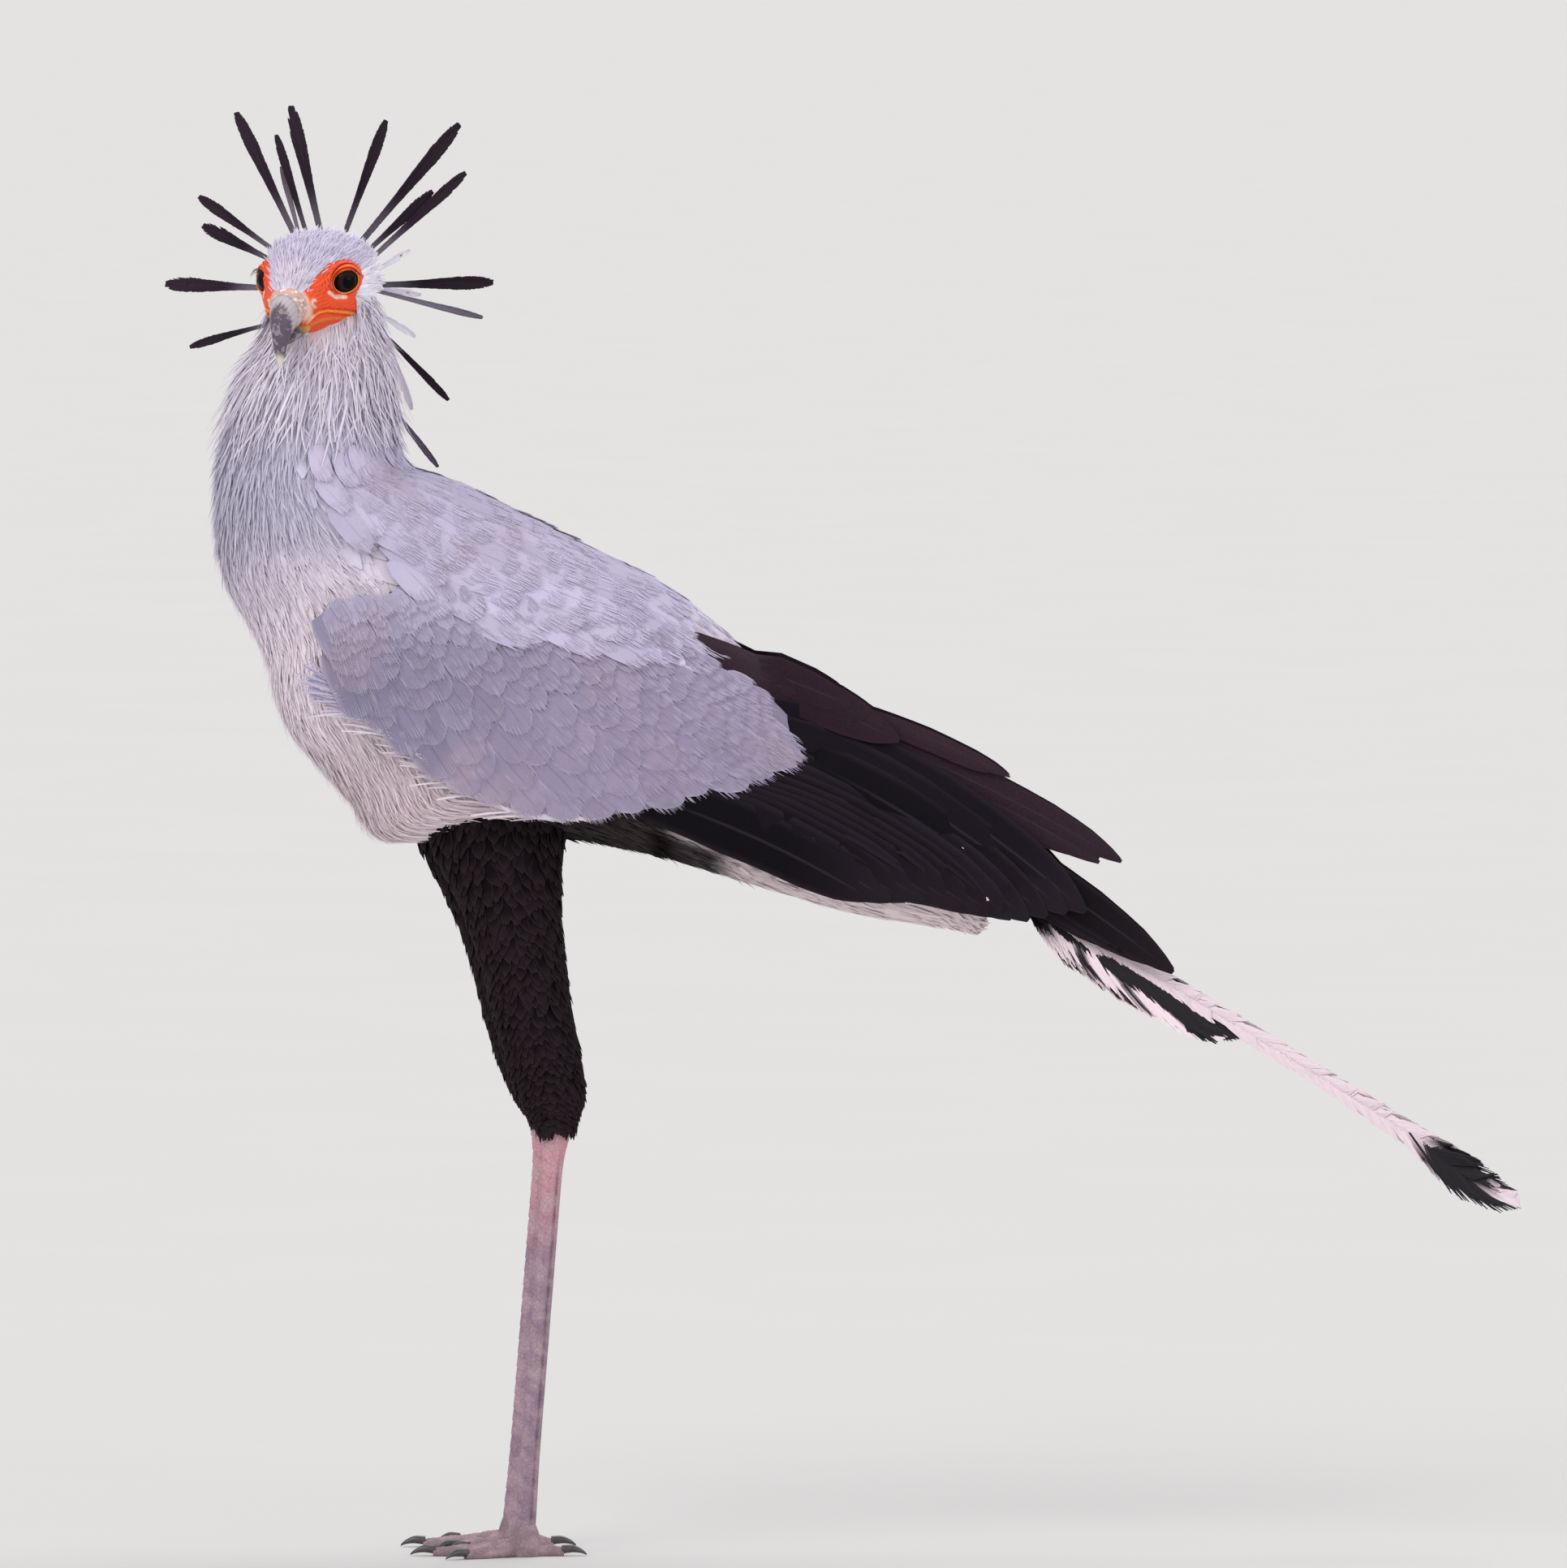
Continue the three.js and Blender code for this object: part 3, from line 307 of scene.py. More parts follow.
# %% The head as a function
HEAD = {"centre": np.array([-160.0, -4.0, 976.0]), "turn": math.radians(22), "nod": math.radians(24)}
ct, st, cn, sn = math.cos(HEAD["turn"]), math.sin(HEAD["turn"]), math.cos(HEAD["nod"]), math.sin(HEAD["nod"])
FORWARD = np.array([-st * cn, -ct * cn, -sn])
LEFT = np.array([ct, -st, 0.0])
UP = np.array([-st * sn, -ct * sn, cn])
SKULL = [
    [-46, 8, 0, -10], [-42, 22, 10, -18], [-33, 35, 21, -30], [-20, 42, 29, -38], [-5, 44, 33, -42],
    [10, 42, 34, -42], [22, 38, 32, -39], [32, 33, 28.5, -35], [42, 26, 24, -30], [50, 19.5, 20.5, -25.5],
    [57, 14, 16.5, -21.5],
]
SKULL_POWER = 2.15


def in_head(forward, left, up):
    """A place given in the head's own directions."""
    parts = np.broadcast_arrays(forward, left, up)
    return (HEAD["centre"] + parts[0][..., None] * FORWARD + parts[1][..., None] * LEFT
            + parts[2][..., None] * UP)


def skull_parts(s, angle, lift=0.0):
    """A place of the head's surface as forward, left and up. s is the section from nape to bill, angle
    goes round (0 left, 90 crown); both half sizes follow a superellipse."""
    forward, half, top, bottom = np.moveaxis(spline(SKULL, s), -1, 0)
    c, d = np.cos(np.radians(angle)), np.sin(np.radians(angle))
    side = np.sign(c) * np.abs(c) ** (2 / SKULL_POWER)
    rise = np.sign(d) * np.abs(d) ** (2 / SKULL_POWER)
    up = (top + bottom) / 2 + ((top - bottom) / 2 + lift) * rise
    return np.stack(np.broadcast_arrays(forward, (half + lift) * side, up), -1)


def skull(s, angle, lift=0.0):
    """The same place as a point of the bird."""
    return in_head(*np.moveaxis(skull_parts(s, angle, lift), -1, 0))


print("bill base at", in_head(57.0, 0.0, 16.0).round(1))

# %% [markdown]
# ## One skin under the feathers
# Neck, trunk and thighs are flesh with no seam. They could be welded by hand, but a voxel remesh of
# the overlapping tubes gives one closed surface at once, and the feathers cover it.

# %% Legs and the thigh's form
LEAD = 9.0
THIGH = [
    [600, -78, 46, 25], [546, -74, 29, 28], [499, -52, 26, 27], [456, -36, 29, 24], [412, -26, 35, 21],
    [375, -16, 42, 18.5], [350, -6, 44, 16.5], [336, 1, 40, 14.5], [328, 6, 38, 12], [306, 9, 36, 11],
]
HEM = 8


def thigh(s, angle, lift=0.0, side=1):
    """A point of the thigh: s from the hip down to the hem, angle round it (0 rear, 180 front)."""
    z, x0, x1, half = np.moveaxis(spline(THIGH, s), -1, 0)
    share = np.asarray(s, float) / HEM
    lean = 0.0 if side > 0 else -LEAD * (1.4 + (0.6 - 1.4) * share)
    y = -side * (LEG_SPACING / 2 - 3 + 3 * share)
    c, d = np.cos(np.radians(angle)), np.sin(np.radians(angle))
    round_c = np.sign(c) * np.abs(c) ** (2 / 2.2)
    round_d = np.sign(d) * np.abs(d) ** (2 / 2.2)
    return np.stack([
        (x0 + x1) / 2 + lean + ((x1 - x0) / 2 + lift) * round_c,
        y - side * (half + lift) * round_d,
        z,
    ], -1)


def tube(surface, stations, sides, lift):
    """A closed tube: rings of a surface at the stations, with one point in the middle of each end."""
    s, a = np.meshgrid(stations, np.arange(sides) * 360 / sides, indexing="ij")
    rings = surface(s, a, lift)
    points = np.concatenate([rings.reshape(-1, 3), rings[0].mean(0)[None], rings[-1].mean(0)[None]])
    return points, [quads(len(stations), sides, closed=True), *pole_caps(len(stations), sides)]


def joined(parts):
    """Several point and face arrays as one."""
    start = 0
    points, faces = [], {3: [], 4: []}
    for p, f in parts:
        points.append(p)
        for block in f if isinstance(f, list) else [f]:
            faces[block.shape[1]].append(block + start)
        start += len(p)
    return np.concatenate(points), [np.concatenate(b) for b in faces.values() if b]


print("thigh hem at", thigh(8.0, 0.0).round(1))

# %% [markdown]
# ## Colours of the plumage
# The bird is lavender grey on the crown and back, paler down the neck, nearly white on the breast,
# pinkish white on the belly, dark brown at the vent and black on the thighs. One function gives the
# colour of any place, so that skin and feathers carry the same markings.

# %% Colour of a place on the body
def linear(r, g, b):
    """Screen colour to the light values that a shader works in."""
    c = np.array([r, g, b], float)
    return np.where(c <= 0.04045, c / 12.92, ((c + 0.055) / 1.055) ** 2.4)


CROWN = linear(0.79, 0.76, 0.86)
NECK = linear(0.79, 0.77, 0.86)
BREAST = linear(0.98, 0.93, 0.97)
BELLY = linear(0.95, 0.88, 0.91)
MANTLE = linear(0.76, 0.73, 0.84)
VENT = linear(0.11, 0.065, 0.06)
BLACK = linear(0.07, 0.05, 0.06)
UNDERTAIL = linear(0.95, 0.88, 0.90)


def blend(share, first, second):
    """Between two colours by a share for each point."""
    return first + (second - first) * np.asarray(share)[..., None]


def body_colour(s, angle, places=None):
    """Colour on the trunk by section and angle: grey above, pale below, then by place: brown at the
    vent, a black wedge low behind it, pinkish white under the tail."""
    places = body(s, angle) if places is None else places
    x, z = places[..., 0], places[..., 2]
    back = soft_step(-0.35, 0.5, np.sin(np.radians(angle))) * soft_step(3.4, 7.0, s)
    colour = blend(soft_step(2.8, 1.0, s), NECK, UNDERTAIL)
    colour = blend(soft_step(5.8, 9.4, s), colour, BREAST)
    colour = blend(soft_step(10, 13.5, s), colour, BELLY)
    colour = blend(back, colour, MANTLE)
    low = 1 - back
    colour = blend(0.95 * soft_step(2, 14, x) * soft_step(130, 100, x) * low, colour, VENT)
    colour = blend(soft_step(104, 124, x) * low, colour, UNDERTAIL)
    wedge = soft_step(88, 100, x) * soft_step(166, 140, x) * soft_step(8, 0, z - (548 - 0.32 * (x - 105)))
    return blend(0.95 * wedge * low, colour, BLACK)


print("colour of the mantle:", body_colour(11.0, 90.0).round(2))

# %% [markdown]
# ## The eye's place
# An eye looks forward and sideways. Every detail of the face is measured in the plane across its
# gaze: one axis towards the bill, one upwards, and the depth along the gaze.

# %% Gaze frame
def unit(v):
    return v / (np.linalg.norm(v, axis=-1, keepdims=True) + 1e-9)


GAZE = unit(np.array([0.68, 0.70, 0.15]))
TO_BILL = unit(np.array([1.0, 0.0, 0.0]) - GAZE[0] * GAZE)
TO_BROW = np.cross(TO_BILL, GAZE)
EYE_RADIUS = 11.5
EYE_CENTRE = np.array([23.8, 36.6, 7.2]) - 9.4 * GAZE
MIRROR = np.array([1.0, -1.0, 1.0])


def gaze_plane(parts):
    """Towards the bill, towards the brow and depth of a place given as forward, left and up."""
    rel = parts - EYE_CENTRE
    return rel @ TO_BILL, rel @ TO_BROW, rel @ GAZE


def carved(parts):
    """The head's skin dented round each eye, so that the ball and its lids have a socket."""
    for flip in (np.ones(3), MIRROR):
        across, rise, depth = gaze_plane(parts * flip)
        away = np.hypot(across, rise)
        limit = 1.0 + 14 * soft_step(10, 17, away)
        push = np.where(away < 17, np.maximum(depth - limit, 0), 0)
        parts = parts - push[..., None] * GAZE * flip
    return parts


print("eye centre (forward, left, up):", EYE_CENTRE.round(1))

# %% [markdown]
# ## The bare face
# Round each eye and down to the gape the skin is bare. Its outline is known in the gaze plane as a
# distance from the eye's axis for each direction: 0 towards the bill, 90 towards the brow.

# %% Outlines of the eye's opening and of the bare skin
OPENING = {"round": 8.6, "tilt": (0.9, 0.9), "long": 0.8}
FACE_EDGE = np.array([
    (-180, 15.2), (-173, 15.0), (-164, 15.8), (-150, 13.8), (-134, 12.8), (-112, 12.0), (-98, 14.0),
    (-88, 29.0), (-80, 27.5), (-74, 28.0), (-59, 31.0), (-44, 37.0), (-34, 46.0), (-26, 51.0), (-18, 50.0),
    (-4, 44.0), (14, 40.0), (19, 36.7), (28, 29.4), (41, 24.9), (60, 20.3), (85, 16.4), (119, 15.1),
    (150, 14.8), (180, 15.2),
])


def opening(direction):
    """Distance from the eye's axis to the lids' edge, for directions in radians."""
    tilt = OPENING["tilt"]
    return (OPENING["round"] + tilt[0] * np.cos(direction) + tilt[1] * np.sin(direction)
            + OPENING["long"] * np.cos(2 * direction))


def face_edge(direction):
    """Distance from the eye's axis to the first feathers, with a small ragged wave."""
    turn = (np.degrees(direction) + 180) % 360 - 180
    return np.interp(turn, *FACE_EDGE.T) + 0.35 * np.sin(17 * direction) + 0.2 * np.sin(41 * direction)


def bare(points):
    """True on the bare face of either side."""
    d = points - HEAD["centre"]
    parts = np.stack([d @ FORWARD, d @ LEFT, d @ UP], -1)
    found = np.zeros(points.shape[:-1], bool)
    for flip in (np.ones(3), MIRROR):
        across, rise, depth = gaze_plane(parts * flip)
        near = np.hypot(across, rise) < face_edge(np.arctan2(rise, across)) + 0.2
        found |= near & (depth > -5) & (parts[..., 1] * flip[1] > 0)
    return found


print("opening of the lids in mm:", opening(np.radians([0, 90, 180, 270])).round(1))

# %% [markdown]
# Skin shows only through gaps between feathers. It takes the colour of the feathers over it and a
# fine mottle, so that no gap reads as a hole.

# %% Skin material and mesh
down = Finish("down skin", Roughness=0.95, Specular_IOR_Level=0.1)
tint = down.attribute("tint")
mottle = down.noise(260.0, 4.0)
down.finish(down.mix(mottle * 0.12, tint, (0.45, 0.41, 0.44)), height=mottle, depth=0.0006)

INSET = {"trunk": -4.6, "thigh": -3.0, "head": -2.5}
trunk_tube = tube(body, np.linspace(0, 23, 70), 72, INSET["trunk"])
head_tube = tube(
    lambda s, a, lift: in_head(*np.moveaxis(carved(skull_parts(s, a, lift)), -1, 0)),
    np.linspace(0, 10, 60), 90, INSET["head"],
)
thigh_tubes = [
    tube(lambda s, a, lift, k=side: thigh(s, a, lift, k), np.linspace(0, 7.9, 26), 32, INSET["thigh"])
    for side in (1, -1)
]


def skin_colour(points):
    """Colour of a skin point from its place: the trunk's colour at the nearest section and angle."""
    s, a = np.meshgrid(np.linspace(0, 23, 93), np.arange(0, 360, 12), indexing="ij")
    spots = body(s, a, INSET["trunk"]).reshape(-1, 3)
    tints = body_colour(s, a).reshape(-1, 3)
    nearest = np.concatenate([
        np.argmin(((block[:, None] - spots[None]) ** 2).sum(-1), 1) for block in np.array_split(points, 60)
    ])
    colour = tints[nearest]
    head = soft_step(940, 962, points[:, 2]) * soft_step(-105, -115, points[:, 0])
    colour = blend(head, colour, CROWN)
    leg = (points[:, 2] < 568) & (points[:, 0] < 45)
    return np.where(leg[:, None], BLACK, colour)


skin_points, skin_faces = joined([trunk_tube, head_tube, *thigh_tubes])
skin = piece("body_skin", skin_points, skin_faces, down.material)
remesh = skin.modifiers.new("weld", "REMESH")
remesh.mode = "VOXEL"
remesh.voxel_size = 0.0034
remesh.use_smooth_shade = True
welded = bpy.data.meshes.new_from_object(skin.evaluated_get(bpy.context.evaluated_depsgraph_get()))
skin.modifiers.clear()
skin.data = welded
skin.data.materials.clear()
skin.data.materials.append(down.material)
spots = np.zeros(len(welded.vertices) * 3, np.float32)
welded.vertices.foreach_get("co", spots)
spots = spots.reshape(-1, 3) * 1000 - SHIFT
shade = np.concatenate([skin_colour(spots), np.ones((len(spots), 1))], 1).astype(np.float32)
welded.attributes.new("tint", "FLOAT_COLOR", "POINT").data.foreach_set("color", shade.ravel())
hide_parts("neck", "torso", "rump", "head", "thigh_left", "thigh_right")
print("skin welded:", len(welded.polygons), "faces")

# %% [markdown]
# ## A feather as a mesh
# A feather is a thin curved blade: a shaft down the middle, a vane each side that droops from it.
# Each is a closed form of a few rings along a centre line, so thousands can be worked out at once as
# arrays. Small body feathers have a ring of three points, and large ones a ring of eight. Plumage
# scatters light softly, so each blade is shaded partly by the surface it lies on.

# %% Feather maker
Blades = namedtuple("Blades", "points walls caps vane normals facing owner")
RINGS = {
    "small": (np.array([-1.0, 0.0, 1.0]), np.array([0.0, 1.0, 0.0]), np.array([1.0, 1.0, -1.0])),
    "large": (
        np.array([-1.0, -0.55, 0.0, 0.55, 1.0, 0.55, 0.0, -0.55]),
        np.array([-0.06, 0.62, 1.0, 0.62, -0.06, 0.5, 0.8, 0.5]),
        np.array([1.0, 1.0, 1.0, 1.0, -1.0, -1.0, -1.0, -1.0]),
    ),
}


def blade_axes(centre, out):
    """Directions along a centre line, across the blade, and away from the body."""
    along = unit(np.gradient(centre, axis=0))
    across = unit(np.cross(along, out))
    return along, across, np.cross(across, along)


def feathers(centre, out, widths, camber, ring="small", soft=0.7):
    """Closed blades round centre lines. centre is rows by feathers by 3, out points away from the
    body, widths gives the full width at each row, camber how far the edges droop as a share of it."""
    along, across, normal = blade_axes(centre, out)
    k, h, facing = RINGS[ring]
    rows, count = centre.shape[:2]
    sides = len(k)
    half = widths[..., None] / 2
    lifted = (camber * widths)[..., None]
    points = (
        centre[:, :, None]
        + across[:, :, None] * (half * k)[..., None]
        + normal[:, :, None] * (lifted * h)[..., None]
    )
    own = normal[:, :, None] + 0.5 * across[:, :, None] * k[:, None]
    shade = unit(soft * unit(out)[:, :, None] + (1 - soft) * own)
    wall = quads(rows, sides, closed=True)
    starts = (np.arange(count) * rows * sides)[:, None, None]
    caps = np.stack([np.arange(sides)[::-1], (rows - 1) * sides + np.arange(sides)])
    vane = np.stack(np.broadcast_arrays(k[None] / 2 + 0.5, np.linspace(0, 1, rows)[:, None]), -1)
    return Blades(
        points.transpose(1, 0, 2, 3).reshape(-1, 3),
        (wall[None] + starts).reshape(-1, 4),
        [(caps[None] + starts).reshape(-1, sides)],
        np.tile(vane.reshape(-1, 2), (count, 1)),
        shade.transpose(1, 0, 2, 3).reshape(-1, 3),
        np.tile(facing, (rows - 1) * count),
        np.repeat(np.arange(count), rows * sides),
    )


def together(parts, same_owner=False):
    """Several sets of blades as one set. With same_owner, equal numbers mean the same feather."""
    starts = np.concatenate([[0], np.cumsum([len(p.points) for p in parts])[:-1]])
    firsts = np.concatenate([[0], np.cumsum([p.owner.max() + 1 for p in parts])[:-1]]) * (not same_owner)
    return Blades(
        np.concatenate([p.points for p in parts]),
        np.concatenate([p.walls + start for p, start in zip(parts, starts)]),
        [caps + start for p, start in zip(parts, starts) for caps in p.caps],
        np.concatenate([p.vane for p in parts]),
        np.concatenate([p.normals for p in parts]),
        np.concatenate([p.facing for p in parts]),
        np.concatenate([p.owner + int(first) for p, first in zip(parts, firsts)]),
    )


def read_rows(table, stations, share, feather):
    """A table of rows by feathers read at shares of the length; past the end it goes straight on."""
    i = np.clip(np.searchsorted(stations, share) - 1, 0, len(stations) - 2)
    f = (share - stations[i]) / (stations[i + 1] - stations[i])
    f = f[..., None] if table.ndim == 3 else f
    return table[i, feather] * (1 - f) + table[i + 1, feather] * f


def fringed(centre, out, widths, camber, stations, strands, reach=1.6, soft=0.85, thick=1.0):
    """Broad feathers whose round tips end in fine barbs. A strand lies at an offset k of the half
    width, starts inside the vane and ends just past the tip's round outline, which lies
    1 - sqrt(1 - k^2) half widths before the end."""
    count = centre.shape[1]
    length = np.linalg.norm(np.diff(centre, axis=0), axis=-1).sum(0)[:, None]
    along, across, normal = blade_axes(centre, out)
    k = rng.uniform(-0.97, 0.97, (count, strands))
    broad = widths.max(0)[:, None] / 2
    edge = 1 - (1 - np.sqrt(1 - k * k)) * broad * 0.95 / length
    end = edge + rng.uniform(0.1, 1.0, k.shape) * reach / length
    start = np.maximum(edge - rng.uniform(6, 12, k.shape) / length, 0.3)
    feather = np.repeat(np.arange(count)[:, None], strands, 1)
    facing_out = unit(out) * np.ones_like(centre)
    lines, outs, vanes = [], [], []
    for u in (0.0, 0.6, 1.0):
        place = start + (end - start) * u
        off = k * broad * (0.93 + 0.05 * u)
        height = camber * 2 * broad * (1 - k * k) + 0.1 + 0.2 * u
        spot = (read_rows(centre, stations, place, feather)
                + off[..., None] * read_rows(across, stations, place, feather))
        lines.append(spot + height[..., None] * read_rows(normal, stations, place, feather))
        outs.append(read_rows(facing_out, stations, place, feather))
        vanes.append(np.stack([0.5 + 0.5 * k, np.clip(place, 0, 1)], -1))
    shape = (3, count * strands)
    made = feathers(
        np.stack(lines).reshape(*shape, 3), np.stack(outs).reshape(*shape, 3),
        np.array([1.0, 0.9, 0.2])[:, None] * thick * rng.uniform(0.7, 1.4, shape[1]), 0.08, soft=soft,
    )
    vane = np.repeat(np.stack(vanes).reshape(3, -1, 2).transpose(1, 0, 2), 3, axis=1).reshape(-1, 2)
    strands_made = made._replace(vane=vane, owner=feather.reshape(-1)[made.owner])
    return together([feathers(centre, out, widths, camber, "large", soft), strands_made], same_owner=True)


CLUMP = 6  # neighbouring barbs that stick together


def barbed(centre, out, widths, camber, barbs, core=0.6, slant=1.5, split=0.3, soft=0.5):
    """Feathers with real barbs. Barbs leave the shaft at shares t, run outwards to the vane's edge and
    forwards by slant times the half width. A random number that jumps now and then bends neighbours
    together, so that the vane splits and frays. A narrow blade stays as the closed core."""
    rows, count = centre.shape[:2]
    length = np.linalg.norm(np.diff(centre, axis=0), axis=-1).sum(0)
    along, across, normal = blade_axes(centre, out)
    t = np.tile(np.linspace(0.03, 0.985, barbs), 2) + rng.uniform(-0.3, 0.3, (count, 2 * barbs)) / barbs
    side = np.repeat([1.0, -1.0], barbs)
    plume = np.repeat(np.arange(count)[:, None], 2 * barbs, 1)

    def read(table, share):
        return read_rows(table, np.linspace(0, 1, rows), np.clip(share, 0, 1), plume)

    clumps = rng.normal(0, split, (count, 2 * barbs // CLUMP + 2))
    within = np.tile(np.arange(CLUMP), 2 * barbs // CLUMP + 1)[: 2 * barbs]
    clump = np.repeat(clumps, CLUMP, 1)[:, : 2 * barbs] * (1 + 0.3 * within)
    wide = read(widths, t) / 2
    end = np.minimum(t + np.maximum(slant + clump, 0.4) * wide / length[:, None], 1.0)
    wide = read(widths, end) / 2 * rng.uniform(0.94, 1.05, t.shape)
    lines, vanes, outs = [], [], []
    for u in (0.0, 0.55, 1.0):
        place = t + (end - t) * u
        off = side * wide * u**0.85
        drop = camber * 2 * wide * (1 - u**2)
        lines.append(read(centre, place) + off[..., None] * read(across, place)
                     + drop[..., None] * read(normal, place))
        vanes.append(np.stack([0.5 + 0.5 * side * u * np.ones_like(t), (t + end) / 2], -1))
        outs.append(read(unit(out) * np.ones_like(centre), place))
    shape = (3, count * 2 * barbs)
    spacing = np.repeat((length / barbs)[:, None], 2 * barbs, 1).reshape(-1)
    made = feathers(
        np.stack(lines).reshape(*shape, 3), np.stack(outs).reshape(*shape, 3),
        np.array([1.7, 1.5, 0.45])[:, None] * spacing, 0.06, soft=soft,
    )
    vane = np.repeat(np.stack(vanes).reshape(3, -1, 2).transpose(1, 0, 2), 3, axis=1).reshape(-1, 2)
    combs = made._replace(vane=vane, owner=plume.reshape(-1)[made.owner])
    heart = feathers(centre, out, widths * core, camber, "large", soft)
    return together([heart, combs], same_owner=True)


def coat_piece(name, made, roots, tints, material, chance=None, replaces=()):
    """A coat piece: its mesh, its vane map, and a bake map where each feather is a small patch at its
    root's place on the unwrapped skin. Tints are given per feather or per point."""
    count = len(roots)
    owner = made.owner
    patch = np.clip(roots[owner], 0, 1) * 0.996 + made.vane * 0.003
    values = {
        "tint": tints if len(tints) == len(made.points) else tints[owner],
        "chance": (rng.random(count) if chance is None else chance)[owner],
    }
    maps = {"OFBake": patch, "vane": made.vane}
    corners = [made.normals[made.walls.ravel()] * np.repeat(made.facing, 4)[:, None]]
    corners += [made.normals[caps.ravel()] for caps in made.caps]
    return piece(name, made.points, [made.walls, *made.caps], material, replaces, maps, values,
                 np.concatenate(corners))


def rows_along(surface, u, v, heading, length, lift, rows):
    """Centre lines that follow a surface: from the root, rows go along the heading (0 is along u),
    while their height above the surface follows lift, a function of the share of the length."""
    e = 1e-3
    pu = np.linalg.norm(surface(u + e, v) - surface(u - e, v), axis=-1) / (2 * e)
    pv = np.linalg.norm(surface(u, v + 10 * e) - surface(u, v - 10 * e), axis=-1) / (20 * e)
    t = np.linspace(0, 1, rows)[:, None] if np.ndim(rows) == 0 else np.asarray(rows)[:, None]
    uu = u + np.cos(heading) * length / pu * t
    vv = v + np.sin(heading) * length / pv * t
    heights = lift(t)
    centre = surface(uu, vv, heights)
    out = surface(uu, vv, heights + 1.0) - centre
    return centre, out


def jittered(u_range, v_range, u_step, v_step, jitter=0.5):
    """Root places in staggered rows over a surface, each moved a little at random."""
    u = np.arange(*u_range, u_step)
    v = np.arange(*v_range, v_step)
    uu, vv = np.meshgrid(u, v, indexing="ij")
    vv = vv + (np.arange(len(u)) % 2)[:, None] * v_step / 2
    uu = uu + rng.uniform(-jitter, jitter, uu.shape) * u_step
    vv = vv + rng.uniform(-jitter, jitter, vv.shape) * v_step
    return uu.ravel(), vv.ravel()


print("ring sizes:", {key: len(k) for key, (k, _, _) in RINGS.items()})

# %% [markdown]
# ## What a feather looks like close up
# The vane is paler at its edge and towards its tip. The fade from the middle to the tip is partly the
# feather's own pale tip and partly painted shade: the base is darker where the feather above overlaps it. A
# darker shaft runs down it, and barbs slant outwards from the shaft as fine lines. All of it follows
# the feather's own map, so it turns with the feather.

# %% Plumage materials
def plumage(name, edge, edge_share, shaft_share, contrast, roughness, barb=150.0, warm=0.0, **constants):
    """A feather finish on the tint of its place: pale edge, a tip that pales from the middle (partly the
    feather's pale tip, partly painted shade where the next feather overlaps the base), dark shaft, slanting
    barbs, and broad warm patches where warm is above 0."""
    look = Finish(name, Roughness=roughness, **constants)
    vane = look.node("ShaderNodeUVMap", {"uv_map": "vane"})
    x = look.node("ShaderNodeSeparateXYZ", None, [vane], output=0)
    y = look.node("ShaderNodeSeparateXYZ", None, [vane], output=1)
    off = (x - 0.5).size() * 2
    barbs = look.node("ShaderNodeMath", {"operation": "SINE"}, [(y - off * 0.28) * barb])
    fine = look.noise(420.0, 3.0)
    chance = look.attribute("chance", output=2)
    tone = 1 + contrast * (chance - 0.5) + contrast * (fine - 0.5) + contrast * 0.25 * barbs
    tint = look.attribute("tint")
    if warm:
        tint = look.mix(look.noise(11.0, 3.0).ramp(0.5, 0.72) * warm, tint, linear(0.72, 0.62, 0.66).tolist())
    toned = look.node("ShaderNodeVectorMath", {"operation": "SCALE"}, {0: tint, 3: tone})
    rim = off.ramp(0.7, 1.0) * edge_share
    # painted shade: the vane pales from its middle to the tip, partly the feather's own pale tip, partly the
    # base darkened where the next feather overlaps it
    tip = y.ramp(0.5, 1.0) * edge_share
    shaft = (1 - off.ramp(0.0, 0.09)) * shaft_share * (1 - y.ramp(0.7, 0.95)) * y.ramp(0.15, 0.4)
    colour = look.mix(shaft, look.mix(tip, look.mix(rim, toned, edge), edge), (0.05, 0.04, 0.05))
    look.finish(colour, height=barbs * 0.5 + fine, depth=0.0003, strength=0.35)
    return look.material


PALE_EDGE = linear(0.97, 0.95, 0.98).tolist()
pale_feather = plumage("pale feather", PALE_EDGE, 0.14, 0.0, 0.16, 0.9, Specular_IOR_Level=0.12)
grey_feather = plumage("grey feather", linear(0.78, 0.75, 0.84).tolist(), 0.3, 0.22, 0.12, 0.9, warm=0.45,
                       Specular_IOR_Level=0.1)
vent_feather = plumage("vent feather", linear(0.26, 0.17, 0.15).tolist(), 0.15, 0.0, 0.4, 0.9,
                       Specular_IOR_Level=0.05)
black_feather = plumage("black feather", (0.035, 0.022, 0.030), 0.35, 0.4, 0.6, 0.55, 420.0,
                        Specular_IOR_Level=0.08)
thigh_feather = plumage("thigh feather", linear(0.24, 0.19, 0.21).tolist(), 0.35, 0.0, 0.5, 0.75,
                        Specular_IOR_Level=0.06)
print("plumage finishes ready")

# %% [markdown]
# ## The coat of the neck and trunk
# Neck feathers are as fine as hair, pointed and loose. Breast and belly feathers are broader and
# softer. Both lie over a flat lower layer in the same colours. They follow the trunk's surface from
# head to tail, each rooted in the skin, and rise towards their tips where the next ones lie under.

# %% Feather outlines
def hackle_width(t):
    """Share of the full width: narrow root, widest at a third, long point."""
    return np.interp(t, [0, 0.3, 0.7, 1], [0.55, 1.0, 0.7, 0.08])


def soft_width(t):
    """Share of the full width: a rounded blade."""
    return np.interp(t, [0, 0.25, 0.6, 0.85, 1], [0.5, 0.95, 1.0, 0.7, 0.12])


